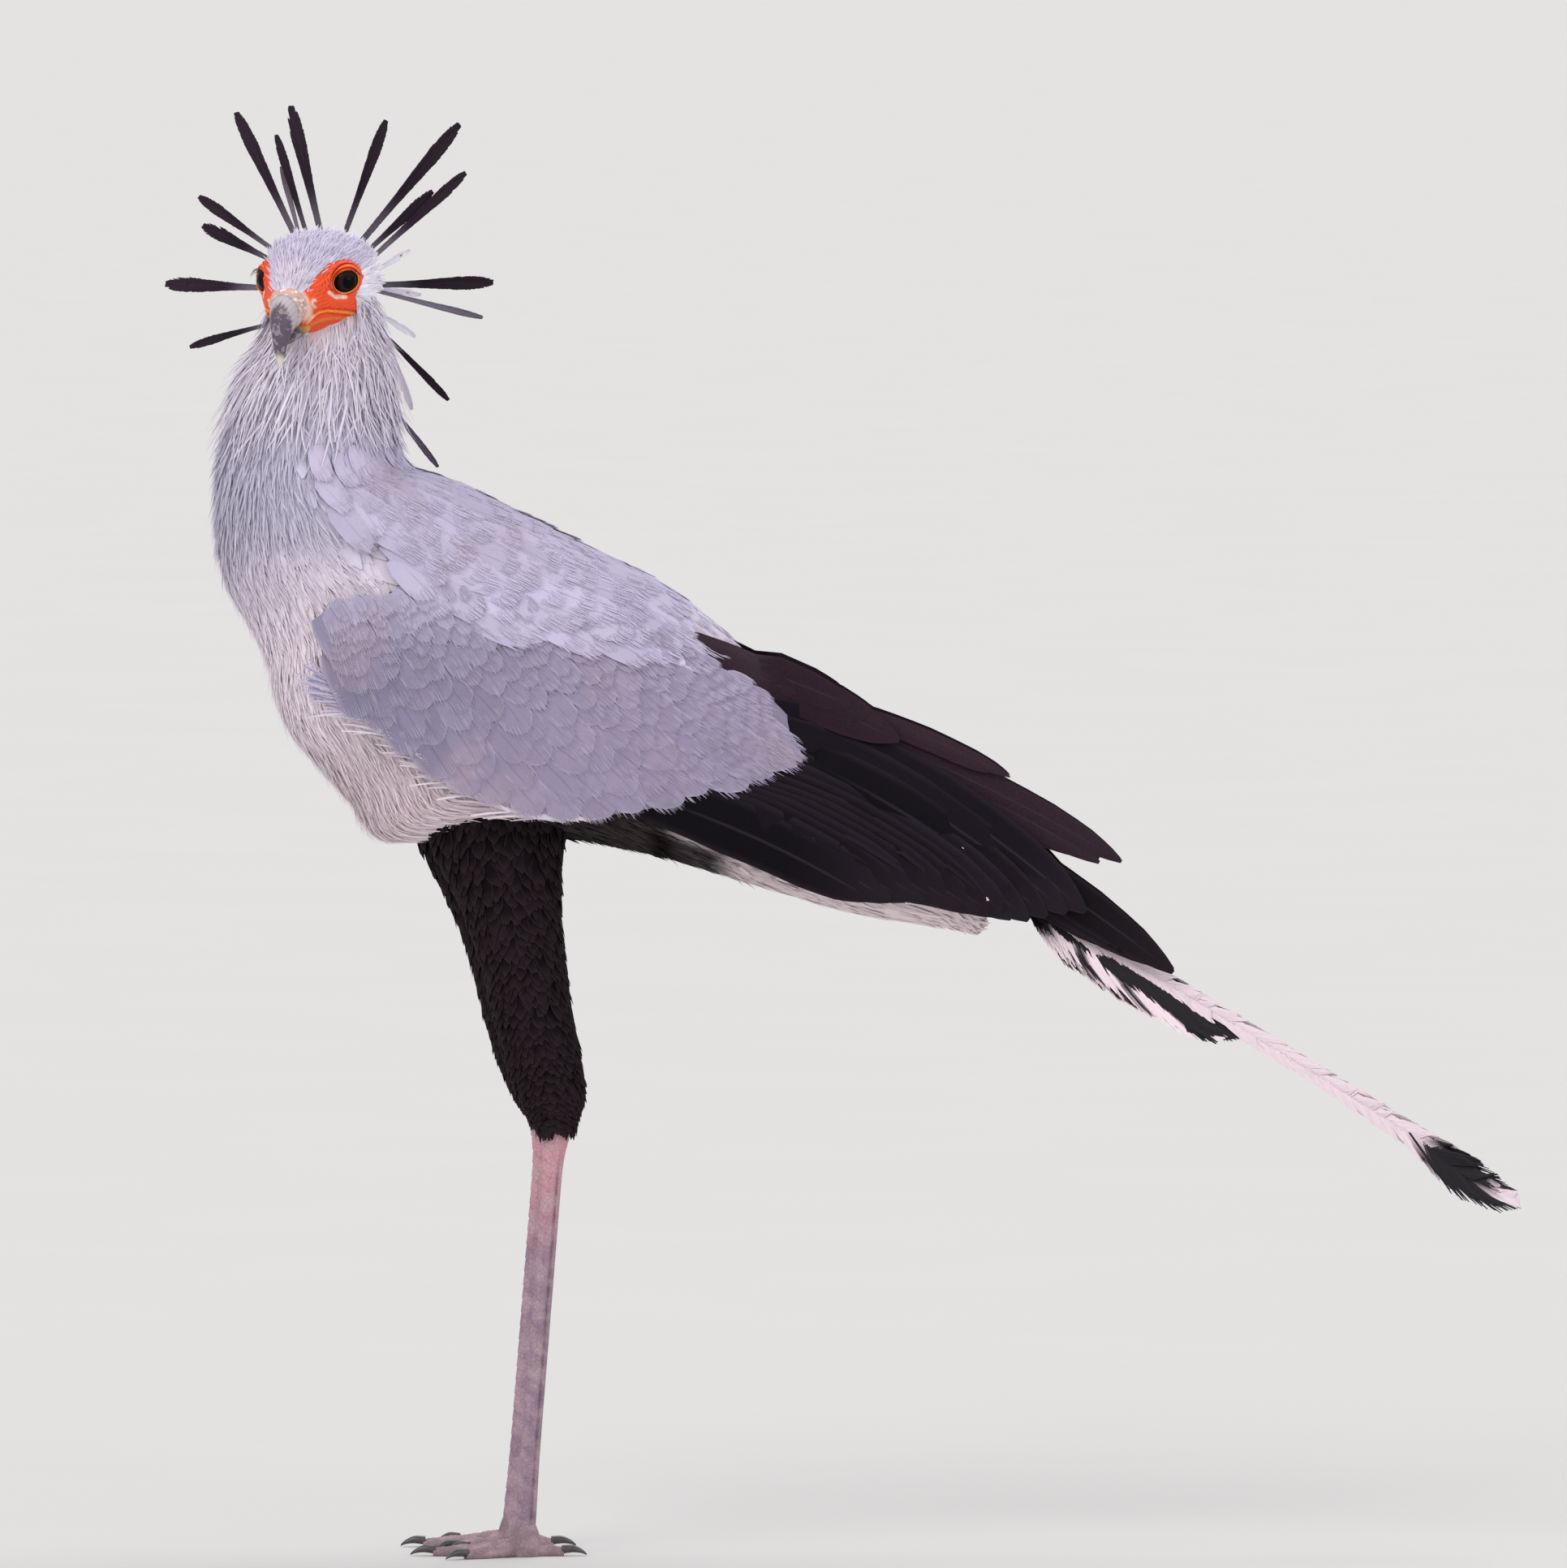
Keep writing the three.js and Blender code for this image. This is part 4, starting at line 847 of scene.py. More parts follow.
def trunk_layer(name, u_range, v_range, step, size, lift, shape=soft_width, rows=5, keep=None, droop=0.0,
                soft=0.8, vary=0.05, finish=None):
    """Feathers over a band of the trunk. step is the root spacing along and round, size the length
    and width, lift the height at root and tip and the extra of the loosest tips."""
    u, v = jittered(u_range, v_range, *step)
    if keep is not None:
        kept = keep(u, v)
        u, v = u[kept], v[kept]
    scale = rng.uniform(0.78, 1.22, len(u))
    loose = rng.random(len(u)) ** 4
    heading = rng.normal(0, 0.13, len(u))
    centre, out = rows_along(
        body, u, v, heading, size[0] * scale,
        lambda t: lift[0] + (lift[1] - lift[0]) * t**0.8 + lift[2] * loose * t**2, rows,
    )
    t = np.linspace(0, 1, rows)[:, None]
    centre[..., 2] -= droop * t**2
    clear = ~bare(centre).any(0)
    made = feathers(centre[:, clear], out[:, clear], shape(t) * (size[1] * scale)[clear], 0.07, soft=soft)
    roots = np.stack([v / 360 % 1, u / 24], -1)[clear]
    own = made.owner
    tints = body_colour(u[clear][own], v[clear][own], made.points)
    tints = tints * rng.uniform(1 - vary, 1 + vary, (clear.sum(), 1))[own]
    return coat_piece(name, made, roots, tints, finish or pale_feather)


def beside_wing(u, v):
    """True where the folded wing doesn't hide the trunk."""
    return ~((np.abs(np.cos(np.radians(v))) > 0.86) & (u > 11.8) & (u < 17.2))


# %% Neck, breast, belly and back
trunk_layer("neck_down", (0.6, 7.5), (0, 360), (0.17, 6.0), (26, 6.5), (-4.6, -0.6, 0.8), rows=4)
for name, band in (("neck_hackles", (1.2, 4.0)), ("throat_hackles", (4.0, 6.7))):
    trunk_layer(name, band, (0, 360), (0.062, 4.0), (32, 2.7), (-4.0, 0.5, 6.5), hackle_width, droop=1.2,
                soft=0.9, vary=0.06)
trunk_layer("breast_down", (5.5, 13.4), (180, 360), (0.22, 4.6), (30, 9.0), (-4.6, -0.4, 0.8), rows=4)
trunk_layer("breast_feathers", (5.2, 13.2), (184, 356), (0.072, 3.1), (30, 1.5), (-4.2, 1.0, 5.0),
            hackle_width, soft=0.8, vary=0.07)
trunk_layer("back_feathers", (3.6, 9.0), (2, 178), (0.24, 5.4), (34, 12.0), (-4.6, 1.0, 0.8))
trunk_layer("belly_down", (12.0, 16.4), (186, 354), (0.2, 5.0), (32, 9.0), (-4.6, -0.4, 0.8), rows=4,
            keep=beside_wing)
trunk_layer("belly_feathers", (12.0, 16.2), (190, 350), (0.07, 2.6), (36, 2.0), (-4.4, 1.0, 7.0),
            hackle_width, keep=beside_wing, soft=0.8, vary=0.06)
trunk_layer("vent_feathers", (15.6, 19.4), (180, 360), (0.12, 5.0), (30, 4.0), (-4.6, 1.4, 6.0), hackle_width,
            keep=beside_wing, soft=0.6, vary=0.25, finish=vent_feather)
trunk_layer("undertail_coverts", (18.4, 22.4), (0, 360), (0.13, 10.0), (60, 7.0), (-4.6, 0.8, 2.0),
            hackle_width, rows=7)

# %% [markdown]
# Under the chin the feathers are longer and whiter, and stand out as a ruff over the neck. A few
# loose wisps hang beside the cheeks.

# %% Ruff
def ruff(name, u_range, steps, length, stand, width):
    """Pointed feathers rooted round the top of the neck, whose tips stand out from it."""
    u, v = jittered(u_range, (0, 360), *steps)
    u = np.maximum(u, 0.02)
    scale = rng.uniform(0.7, 1.3, len(u))
    loose = rng.random(len(u)) ** 1.5
    centre, out = rows_along(
        body, u, v, rng.normal(0, 0.2, len(u)), length * scale,
        lambda t: -3.0 + 5.0 * t + stand * loose * t**1.4, 7,
    )
    clear = ~bare(centre[:5]).any(0)
    t = np.linspace(0, 1, 7)[:, None]
    made = feathers(centre[:, clear], out[:, clear], hackle_width(t) * width * scale[clear], 0.08, soft=0.85)
    roots = np.stack([v / 360 % 1, u / 24], -1)[clear]
    tints = np.tile(linear(0.93, 0.90, 0.96), (clear.sum(), 1)) * rng.uniform(0.86, 1.1, (clear.sum(), 1))
    return coat_piece(name, made, roots, tints, pale_feather)


ruff("ruff_inner", (0.5, 2.4), (0.09, 3.0), 36, 7.0, 1.6)
ruff("ruff_outer", (1.3, 3.8), (0.22, 5.0), 44, 14.0, 1.7)

# %% [markdown]
# ## The folded wing's face
# The folded wing is a shallow shell that lies against the trunk and, behind it, slopes like a roof
# to the middle. Its outer face is a height field: the distance from the middle plane for every
# place of the side view. Feathers are drawn in the side view and lifted onto it.

# %% Wing face
WING = {"tuck": 0.16, "stand": 9.0, "soft": 40.0}
ROOF = {"x": 143.0, "z": 725.0, "fall": 0.63, "half": 33.0, "tip_x": 456.0, "tip_half": 21.0, "slope": 0.18}
WING_TOP = [(-146, 700), (-138, 716), (-123, 724), (-94, 728), (-50, 733), (-18, 733), (31, 718), (73, 704),
            (117, 697), (161, 668), (188, 654), (216, 622)]
WING_LOW = [(-149, 694), (-147, 676), (-135, 652), (-84, 616), (-60, 598), (-18, 575), (27, 564), (92, 570),
            (139, 586), (188, 594), (215, 612)]
FINE_SECTIONS = spline(SECTIONS, np.linspace(2, 23, 421))


def trunk_half(x, z):
    """Half width of the trunk at a side-view place: its own above the middle, hanging straight below."""
    shape = np.shape(x)
    x, z = np.ravel(x), np.ravel(z)
    x0, z0, x1, z1, half = FINE_SECTIONS.T
    side = (x1 - x0) * (z[:, None] - z0) - (z1 - z0) * (x[:, None] - x0)
    crossing = (side[:, :-1] <= 0) & (side[:, 1:] > 0)
    found = crossing.any(1)
    i = np.argmax(crossing, 1)
    here, there = side[np.arange(len(x)), i], side[np.arange(len(x)), i + 1]
    share = np.where(found, here / np.where(found, here - there, 1), 0)[:, None]
    row = FINE_SECTIONS[i] + (FINE_SECTIONS[i + 1] - FINE_SECTIONS[i]) * share
    length = (row[:, 2] - row[:, 0]) ** 2 + (row[:, 3] - row[:, 1]) ** 2
    t = ((x - row[:, 0]) * (row[:, 2] - row[:, 0]) + (z - row[:, 1]) * (row[:, 3] - row[:, 1])) / length
    q = np.abs(2 * t - 1)
    below = row[:, 4] * np.maximum(1 - WING["tuck"] * q * q, 0.3)
    above = row[:, 4] * np.maximum(1 - q**BODY_POWER, 0) ** (1 / BODY_POWER)
    return np.where(found, np.where(t < 0.5, below, above), 0).reshape(shape)


def wing_face(x, z):
    """Distance of the wing's outer face from the middle plane: the larger of the trunk's half width
    plus a stand-off and a sloping roof, softly joined."""
    share = np.minimum((x - ROOF["x"]) / (ROOF["tip_x"] - ROOF["x"]), 1)
    ridge = ROOF["half"] + (ROOF["tip_half"] - ROOF["half"]) * share
    roof = np.maximum(ridge + ROOF["slope"] * (ROOF["z"] - ROOF["fall"] * (x - ROOF["x"]) - z), 5)
    near = trunk_half(x, z) + WING["stand"]
    h = np.clip(0.5 + (near - roof) / (2 * WING["soft"]), 0, 1)
    return roof + (near - roof) * h + WING["soft"] * h * (1 - h)


def wing_rows(root, tip, bend, lift, t, side):
    """Centre lines on the wing's face from root to tip at shares t, bowed upwards by the bend in
    degrees, with lift giving the height above the face at root and tip."""
    t = np.asarray(t, float)[:, None]
    d = tip - root
    length = np.linalg.norm(d, axis=-1)
    bow = length * np.tan(np.radians(bend) / 2) * 2 * t * (1 - t)
    x = root[:, 0] + d[:, 0] * t - d[:, 1] / length * bow
    z = root[:, 1] + d[:, 1] * t + d[:, 0] / length * bow
    height = lift[0] + (lift[1] - lift[0]) * t**0.8
    centre = np.stack([x, -(wing_face(x, z) + height), z], -1)
    e = 4.0
    slope_x = (wing_face(x + e, z) - wing_face(x - e, z)) / (2 * e)
    slope_z = (wing_face(x, z + e) - wing_face(x, z - e)) / (2 * e)
    out = np.stack([-slope_x, -np.ones_like(x), -slope_z], -1)
    if side < 0:
        centre, out = centre * MIRROR, out * MIRROR
    return centre, out


print("wing stands", wing_face(np.array([0.0]), np.array([650.0])).round(1), "mm from the middle plane")

# %% [markdown]
# Under the coverts lies the wing itself, a closed panel that keeps light from showing between them.
# Its colour is 0.85 of the coverts' grey: painted shade in the gaps between the coverts.

# %% Covert panel
def wing_colour(x, z):
    """Grey with a breath of lavender, darker along the leading edge and paler towards the rear."""
    rear = soft_step(-150, 60, x)
    colour = blend(rear, linear(0.50, 0.48, 0.58), linear(0.59, 0.55, 0.65))
    colour = blend(0.35 * soft_step(640, 720, z), colour, linear(0.70, 0.67, 0.77))
    return blend(0.6 * soft_step(688, 716, z), colour, linear(0.73, 0.70, 0.80))


PANEL_ROWS, PANEL_COLUMNS = 60, 24


def panel_piece(side, word):
    """A slab between the panel's two lines: outer face 2 mm under the solids, inner face deeper."""
    share = np.linspace(0, 1, PANEL_ROWS)
    low, top = along_line(WING_LOW, share), along_line(WING_TOP, share)
    v = np.linspace(0.03, 1, PANEL_COLUMNS)[None, :, None]
    flat = low[:, None] * (1 - v) + top[:, None] * v
    x, z = flat[..., 0], flat[..., 1]
    round_off = (1 - np.abs(2 * v[..., 0] - 1) ** 2.5) ** 0.5
    faces = [wing_face(x, z) - 1.8, wing_face(x, z) - (3.8 + 9 * round_off)]
    points = np.concatenate([np.stack([x, -side * y, z], -1).reshape(-1, 3) for y in faces])
    grid = quads(PANEL_ROWS, PANEL_COLUMNS)
    index = np.arange(PANEL_ROWS * PANEL_COLUMNS).reshape(PANEL_ROWS, PANEL_COLUMNS)
    rim = np.concatenate([index[0], index[1:, -1], index[-1, -2::-1], index[-2:0:-1, 0]])
    nxt = np.roll(rim, -1)
    walls = np.stack([rim, rim + index.size, nxt + index.size, nxt], -1)
    shell = np.concatenate([grid, grid[:, ::-1] + index.size, walls])
    if side < 0:
        shell = shell[:, ::-1]
    # painted shade: the panel is tinted darker than the coverts, so the gaps between them read as shade
    tints = wing_colour(points[:, 0], points[:, 2]) * 0.85
    piece(f"wing_panel_{word}", points, shell, down.material, (f"wing_{word}",),
          values={"tint": tints})


SIDES = (("left", 1), ("right", -1))
for word, side in SIDES:
    panel_piece(side, word)

# %% [markdown]
# ## Coverts
# Rows of broad, round-tipped feathers overlap like tiles: small ones along the leading edge and top,
# long ones whose tips make the ragged lower edge. Each row starts under the row above it, and all
# lie so close that only a thin line of shade shows where one ends.

# %% Covert rows
TIERS = [
    # share of the panel's height from its lower edge, count, first and last place, length, width
    (0.02, 15, (0.14, 0.99), (60, 88), (32, 40)),
    (0.14, 15, (0.12, 0.97), (52, 76), (30, 38)),
    (0.28, 16, (0.10, 0.95), (44, 64), (27, 34)),
    (0.41, 18, (0.08, 0.93), (36, 54), (24, 30)),
    (0.53, 22, (0.06, 0.93), (28, 42), (18, 24)),
    (0.64, 25, (0.05, 0.92), (24, 38), (15, 22)),
    (0.74, 28, (0.04, 0.91), (21, 34), (13, 19)),
    (0.83, 31, (0.03, 0.90), (18, 30), (11, 17)),
    (0.92, 33, (0.02, 0.90), (15, 26), (10, 15)),
    (0.995, 33, (0.0, 0.88), (12, 22), (9, 13)),
]
COVERT_ROWS = np.array([0, 0.2, 0.42, 0.62, 0.78, 0.9, 0.97, 1.0])
COVERT_STRANDS, SCAPULAR_STRANDS = 34, 30


def covert_width(t):
    """Share of the full width: broad blade with a round tip."""
    return np.interp(t, [0, 0.2, 0.55, 0.78, 0.9, 0.97, 1], [0.62, 0.9, 1.0, 0.9, 0.64, 0.34, 0.1])


def covert_rows(side, word):
    """All covert rows of one wing as one piece."""
    roots, tips, widths, lifts = [], [], [], []
    for order, (inset, count, span, length, width) in enumerate(TIERS):
        t = np.linspace(0, 1, count) + rng.uniform(-0.25, 0.25, count) / count
        share = span[0] + (span[1] - span[0]) * np.clip(t, 0, 1)
        low, top = along_line(WING_LOW, share), along_line(WING_TOP, share)
        tip = low + (top - low) * inset + rng.normal(0, 2.0, (count, 2))
        heading = np.radians(62 + (26 - 62) * t + rng.normal(0, 4.0, count))
        reach = (length[0] + (length[1] - length[0]) * t) * rng.uniform(0.92, 1.08, count)
        roots.append(tip + np.stack([-np.cos(heading), np.sin(heading)], -1) * reach[:, None])
        tips.append(tip)
        widths.append((width[0] + (width[1] - width[0]) * t) * rng.uniform(0.92, 1.08, count))
        lifts.append(np.full(count, 0.07 * order))
    root, tip, width, extra = map(np.concatenate, (roots, tips, widths, lifts))
    lift = (-2.0, 0.3 + extra + rng.uniform(-0.2, 0.35, len(width)))
    centre, out = wing_rows(root, tip, 8.0, lift, COVERT_ROWS, side)
    blades = covert_width(COVERT_ROWS)[:, None] * width
    made = fringed(centre, out, blades, 0.022, COVERT_ROWS, COVERT_STRANDS, 4.2, 0.93, 0.5)
    half = 0.0 if side > 0 else 0.5
    where = np.stack([(tip[:, 0] + 160) / 640 * 0.5 + half, (tip[:, 1] - 540) / 400], -1)
    tints = wing_colour(tip[:, 0], tip[:, 1]) * rng.uniform(0.96, 1.04, (len(tip), 1))
    return coat_piece(f"wing_coverts_{word}", made, where, tints, grey_feather)


for word, side in SIDES:
    covert_rows(side, word)

# %% [markdown]
# White breast feathers lie over the wing's bend and lower edge, so that the wing seems tucked in.

# %% Feathers over the wing's edge
def edge_ruffle(side, word):
    """Soft feathers rooted outside the wing's front and lower line, whose tips end on its coverts."""
    count = 460
    share = np.linspace(0.07, 0.62, count) + rng.uniform(-0.4, 0.4, count) * 0.55 / count
    low, top = along_line(WING_LOW, share), along_line(WING_TOP, share)
    inward = unit(top - low + np.array([8.0, 4.0]))
    tip = low + inward * rng.uniform(-1, 4.5, (count, 1)) * (1 - 0.9 * share[:, None])
    heading = np.radians(rng.normal(-32, 12, count))
    along = np.stack([np.cos(heading), np.sin(heading)], -1)
    root = tip - along * rng.uniform(24, 34, (count, 1)) - inward * 4
    t = np.linspace(0, 1, 6)
    centre, out = wing_rows(root, tip, 6.0, (-14.0, 0.5), t, side)
    made = feathers(centre, out, hackle_width(t)[:, None] * rng.uniform(1.2, 2.0, count), 0.06, soft=0.9)
    roots = np.stack([share, np.full(count, 0.5)], -1)
    return coat_piece(f"wing_edge_{word}", made, roots, blend(soft_step(0.2, 0.07, share), BREAST, MANTLE),
                      pale_feather)


for word, side in SIDES:
    edge_ruffle(side, word)

# %% [markdown]
# ## Flight feathers
# Long, stiff, black blades come out from under the coverts: tertials on top, a fan of secondaries,
# a narrow bundle of primaries, and the longest secondaries below. Each group is drawn between a
# line of roots and a line of tips, one layer over the next.

# %% Flight feather groups
FLIGHT = [
    # roots, tips, count, width, bend, lift at root and tip for the first and last
    ([(100, 706), (104, 703), (108, 700)], [(248, 650), (268, 636), (284, 624)], 4,
     (30, 34), 2, ((-11.0, 4.5), (-7.0, 4.0))),
    ([(182, 650), (150, 622), (96, 602), (38, 600)], [(424, 493), (376, 488), (314, 500), (262, 503)], 13,
     (43, 45), 9, ((-3.5, -3.0), (-3.5, -3.0))),
    ([(188, 652), (186, 646), (184, 640)], [(453, 529), (430, 531), (404, 540)], 4,
     (26, 26), 7, ((-9.0, -9.0), (-12.0, -12.0))),
    ([(186, 632), (176, 622)], [(494, 444), (452, 462)], 3, (36, 36), 7, ((-13.0, -13.0), (-16.0, -16.0))),
    ([(240, 650), (240, 646)], [(368, 594), (352, 598)], 2, (12, 12), 5, ((-6.0, -2.0), (-7.0, -3.0))),
]
FLIGHT_TONES = [linear(0.15, 0.09, 0.13), linear(0.07, 0.045, 0.085), linear(0.19, 0.13, 0.17),
                linear(0.07, 0.05, 0.08), linear(0.19, 0.13, 0.17)]
FLIGHT_ROWS = np.array([0, 0.1, 0.2, 0.3, 0.4, 0.5, 0.6, 0.7, 0.78, 0.85, 0.9, 0.94, 0.97, 1.0])


def flight_width(t):
    """Share of the full width: long even blade with a bluntly rounded tip."""
    return np.interp(t, [0, 0.15, 0.5, 0.8, 0.9, 0.96, 1], [0.45, 0.8, 1.0, 0.86, 0.64, 0.38, 0.1])


def flight_piece(side, word):
    """All flight feathers of one wing as one piece, each tilted so that its upper edge dips under."""
    parts, tones = [], []
    for (roots, tips, count, width, bend, lift), tone in zip(FLIGHT, FLIGHT_TONES):
        t = np.linspace(0, 1, count)
        span = width[0] + (width[1] - width[0]) * t
        root, tip = along_line(roots, t), along_line(tips, t) + rng.normal(0, 0.8, (count, 2))
        heights = [lift[0][k] + (lift[1][k] - lift[0][k]) * t for k in (0, 1)]
        centre, out = wing_rows(root, tip, bend, heights, FLIGHT_ROWS, side)
        out = out + np.array([0, 0, -0.1])
        parts.append(feathers(centre, out, flight_width(FLIGHT_ROWS)[:, None] * span, 0.03, "large", 0.5))
        tones.append(tone * rng.uniform(0.8, 1.25, (count, 1)))
    made = together(parts)
    count = made.owner.max() + 1
    row, column = np.divmod(np.arange(count), 7)
    roots_at = np.stack([0.05 + 0.9 * column / 7, 0.05 + 0.9 * row / 4], -1)
    return coat_piece(f"flight_feathers_{word}", made, roots_at, np.concatenate(tones), black_feather)


for word, side in SIDES:
    flight_piece(side, word)

# %% [markdown]
# ## Shoulder feathers
# The scapulars grow from the back and lie over the wing's top edge. They are larger than the body
# feathers, grey with whitish tips at the rear, and lengthen towards the rear.

# %% Scapulars
SCAPULAR_EDGE = [(-150, -136, -56, 31, 127, 170), (700, 714, 714, 704, 685, 681)]


def scapulars():
    """Staggered rows on the trunk's upper side. Near the wing the layer rises to lie on it, and on the
    back it lies flat."""
    u, v = jittered((5.0, 13.5), (6, 174), 0.42, 8.0, 0.4)
    grow = np.interp(u, [5.0, 9, 13.4], [0.5, 0.8, 1.0])
    base = 9.5 * grow * np.abs(np.cos(np.radians(v))) ** 1.5
    centre, out = rows_along(
        body, u, v, rng.normal(0, 0.1, len(u)) + 0.08 * np.cos(np.radians(v)), 64 * grow,
        lambda t: base - 3.0 + (3.8 + 2.0 * np.abs(np.cos(np.radians(v)))) * t**0.8, COVERT_ROWS,
    )
    above = centre[-1, :, 2] > np.interp(centre[-1, :, 0], *SCAPULAR_EDGE) - rng.uniform(0, 8, len(u))
    centre, out, u, v, grow = centre[:, above], out[:, above], u[above], v[above], grow[above]
    width = 30 * grow * rng.uniform(0.85, 1.15, len(u)) * (0.5 + 0.5 * np.abs(np.cos(np.radians(v))))
    blades = covert_width(COVERT_ROWS)[:, None] * width
    reach = 3.4 + 1.5 * (u[:, None] > 11.5)
    made = fringed(centre, out, blades, 0.07, COVERT_ROWS, SCAPULAR_STRANDS, reach, 0.92, 0.6)
    roots = np.stack([v / 360, u / 24], -1)
    pale = rng.random(len(u)) * 0.15 + 0.7 * soft_step(120, 150, centre[-1, :, 0])
    tints = blend(pale, MANTLE, linear(0.90, 0.87, 0.93)) * rng.uniform(0.93, 1.06, (len(u), 1))
    return coat_piece("scapulars", made, roots, tints, grey_feather)


scapulars()

# %% [markdown]
# ## The tail
# Twelve feathers grow from the end of the trunk. The middle pair is very long, white with a black
# band before the frayed tip; the next is slate black, and the others are pinkish white with a black
# base, spots and a patch near the tip. They show their barbs, so each is a shaft's blade with a comb
# of real barbs, and its colours are kept per point. Each half of the tail slopes like a roof.

# %% Tail feathers
TAIL_ROOT = {"x": 375.0, "z": 513.4, "fall": math.radians(31.4), "roll": math.radians(44), "sag": 2.0}
TAIL_LAYER, TAIL_STEP = 1.5, 2.4
TAIL = [(449, 44), (202, 33), (190, 40), (168, 38), (148, 36), (128, 34)]
LONG_SHAPE = ([0, 0.16, 0.4, 0.6, 0.8, 0.9, 0.96, 1], [0.2, 0.5, 0.44, 0.42, 0.55, 0.95, 0.8, 0.4])
SHORT_SHAPE = ([0, 0.2, 0.4, 0.8, 0.93, 1], [0.2, 0.6, 0.95, 1.0, 0.8, 0.3])
TAIL_BARBS = (260, 110)
TAIL_ROWS = 56
TAIL_WHITE, TAIL_BLACK = linear(0.88, 0.81, 0.84), linear(0.09, 0.07, 0.10)


def tail_tints(index, vane):
    """Colour of a tail feather's points: dark share by its kind and the place along it."""
    y = vane[:, 1] + 0.012 * np.sin(vane[:, 0] * 60) + 0.015 * np.abs(vane[:, 0] - 0.5)
    if index == 0:
        dark = soft_step(0.822, 0.83, y) * soft_step(0.965, 0.95, y)
    elif index == 1:
        dark = np.ones_like(y) * soft_step(1.0, 0.97, y)
    else:
        spots = np.maximum(soft_step(0.30, 0.32, y) * soft_step(0.38, 0.36, y),
                           soft_step(0.50, 0.52, y) * soft_step(0.58, 0.56, y))
        dark = np.maximum(soft_step(0.2, 0.16, y), spots * soft_step(0.15, 0.35, vane[:, 0]))
        dark = np.maximum(dark, soft_step(0.74, 0.76, y) * soft_step(0.93, 0.91, y))
    streak = 0.14 * (np.sin(vane[:, 1] * 260 + 9 * vane[:, 0]) > 0.3) * soft_step(0.5, 0.6, vane[:, 0])
    white = blend(streak, np.broadcast_to(TAIL_WHITE, (len(y), 3)), linear(0.72, 0.60, 0.62))
    return blend(dark, white, TAIL_BLACK)


def tail_piece():
    """Both halves of the tail: centre lines fall along the tail's line, offset outwards by half a
    width across the roof, and each feather lies under the one further in."""
    made, tints = [], []
    for side in (1, -1):
        across = np.array([0, -side * math.cos(TAIL_ROOT["roll"]), -math.sin(TAIL_ROOT["roll"])])
        under = np.array([0, side * math.sin(TAIL_ROOT["roll"]), -math.cos(TAIL_ROOT["roll"])])
        for index, (length, width) in enumerate(TAIL):
            t = np.linspace(0, 1, TAIL_ROWS)
            share = np.interp(t, *(LONG_SHAPE if index == 0 else SHORT_SHAPE))
            inner = (0.6 / math.cos(TAIL_ROOT["roll"]) + share * width / 2
                     + TAIL_STEP * index * np.minimum(1, 3 * t))
            x = TAIL_ROOT["x"] + length * t * math.cos(TAIL_ROOT["fall"])
            z = TAIL_ROOT["z"] - length * t * math.sin(TAIL_ROOT["fall"]) - TAIL_ROOT["sag"] * t * t
            centre = (np.stack([x, np.zeros_like(x), z], -1) + across * inner[:, None]
                      + under * TAIL_LAYER * index)
            out = np.broadcast_to(-under, centre.shape)
            blade = barbed(centre[:, None], out[:, None], (share * width)[:, None], 0.02,
                           TAIL_BARBS[index > 0], core=(0.62, 0.85)[index > 0], slant=2.4,
                           split=(0.5, 0.15)[index > 0])
            made.append(blade)
            tints.append(tail_tints(index, blade.vane))
    roots = np.stack([np.linspace(0.05, 0.95, 12), np.full(12, 0.5)], -1)
    return coat_piece("tail_feathers", together(made), roots, np.concatenate(tints), white_vane,
                      replaces=("tail",))


white_vane = plumage("white tail feather", PALE_EDGE, 0.0, 0.25, 0.14, 0.7, 700.0, Specular_IOR_Level=0.2)
tail_piece()

# %% [markdown]
# ## The crest
# Long black plumes stand out from the nape and the sides of the crown like quill pens behind an
# ear. Each is drawn where it shows: root, tip and width in the side view, swept back with length.

# %% Crest plumes
HEAD_PLUMES = [
    (-47, -9, -118, -7, 12, 0), (-44, 16, -89, 38, 11, 0), (-40, 24, -92, 60, 9, 0),
    (-17, 29, -64, 124, 10, 0), (-9, 32, -33, 107, 7, 0), (-14, 29, -29, 83, 5, 1),
    (2, 32, -22, 129, 11, 0), (20, 31, 51, 118, 9, 0), (33, 26, 107, 115, 11, 0),
    (39, 20, 87, 64, 9, 0), (45, 17, 112, 78, 9, 0), (46, 5, 70, 19, 6, 2),
    (46, -7, 133, -6, 11, 0), (46, -10, 78, -15, 6, 2), (46, -12, 125, -33, 5, 1),
]
NECK_PLUMES = [
    (-43, -38, -99, -51, 7, 0), (48, -29, 74, -43, 6, 2), (49, -43, 99, -92, 6, 0), (53, -50, 71, -99, 6, 2),
    (55, -99, 91, -143, 5, 1),
]
PLUME_TONES = np.array([linear(0.15, 0.10, 0.15), linear(0.50, 0.46, 0.52), linear(0.93, 0.90, 0.95)])
PLUME_ROWS, PLUME_BARBS = 24, 64


def plume_width(t):
    """Share of the full width: slim quill, widest near the tip, blunt end."""
    return np.interp(t, [0, 0.2, 0.4, 0.6, 0.8, 0.94, 1], [0.16, 0.3, 0.44, 0.72, 1.0, 0.8, 0.34])


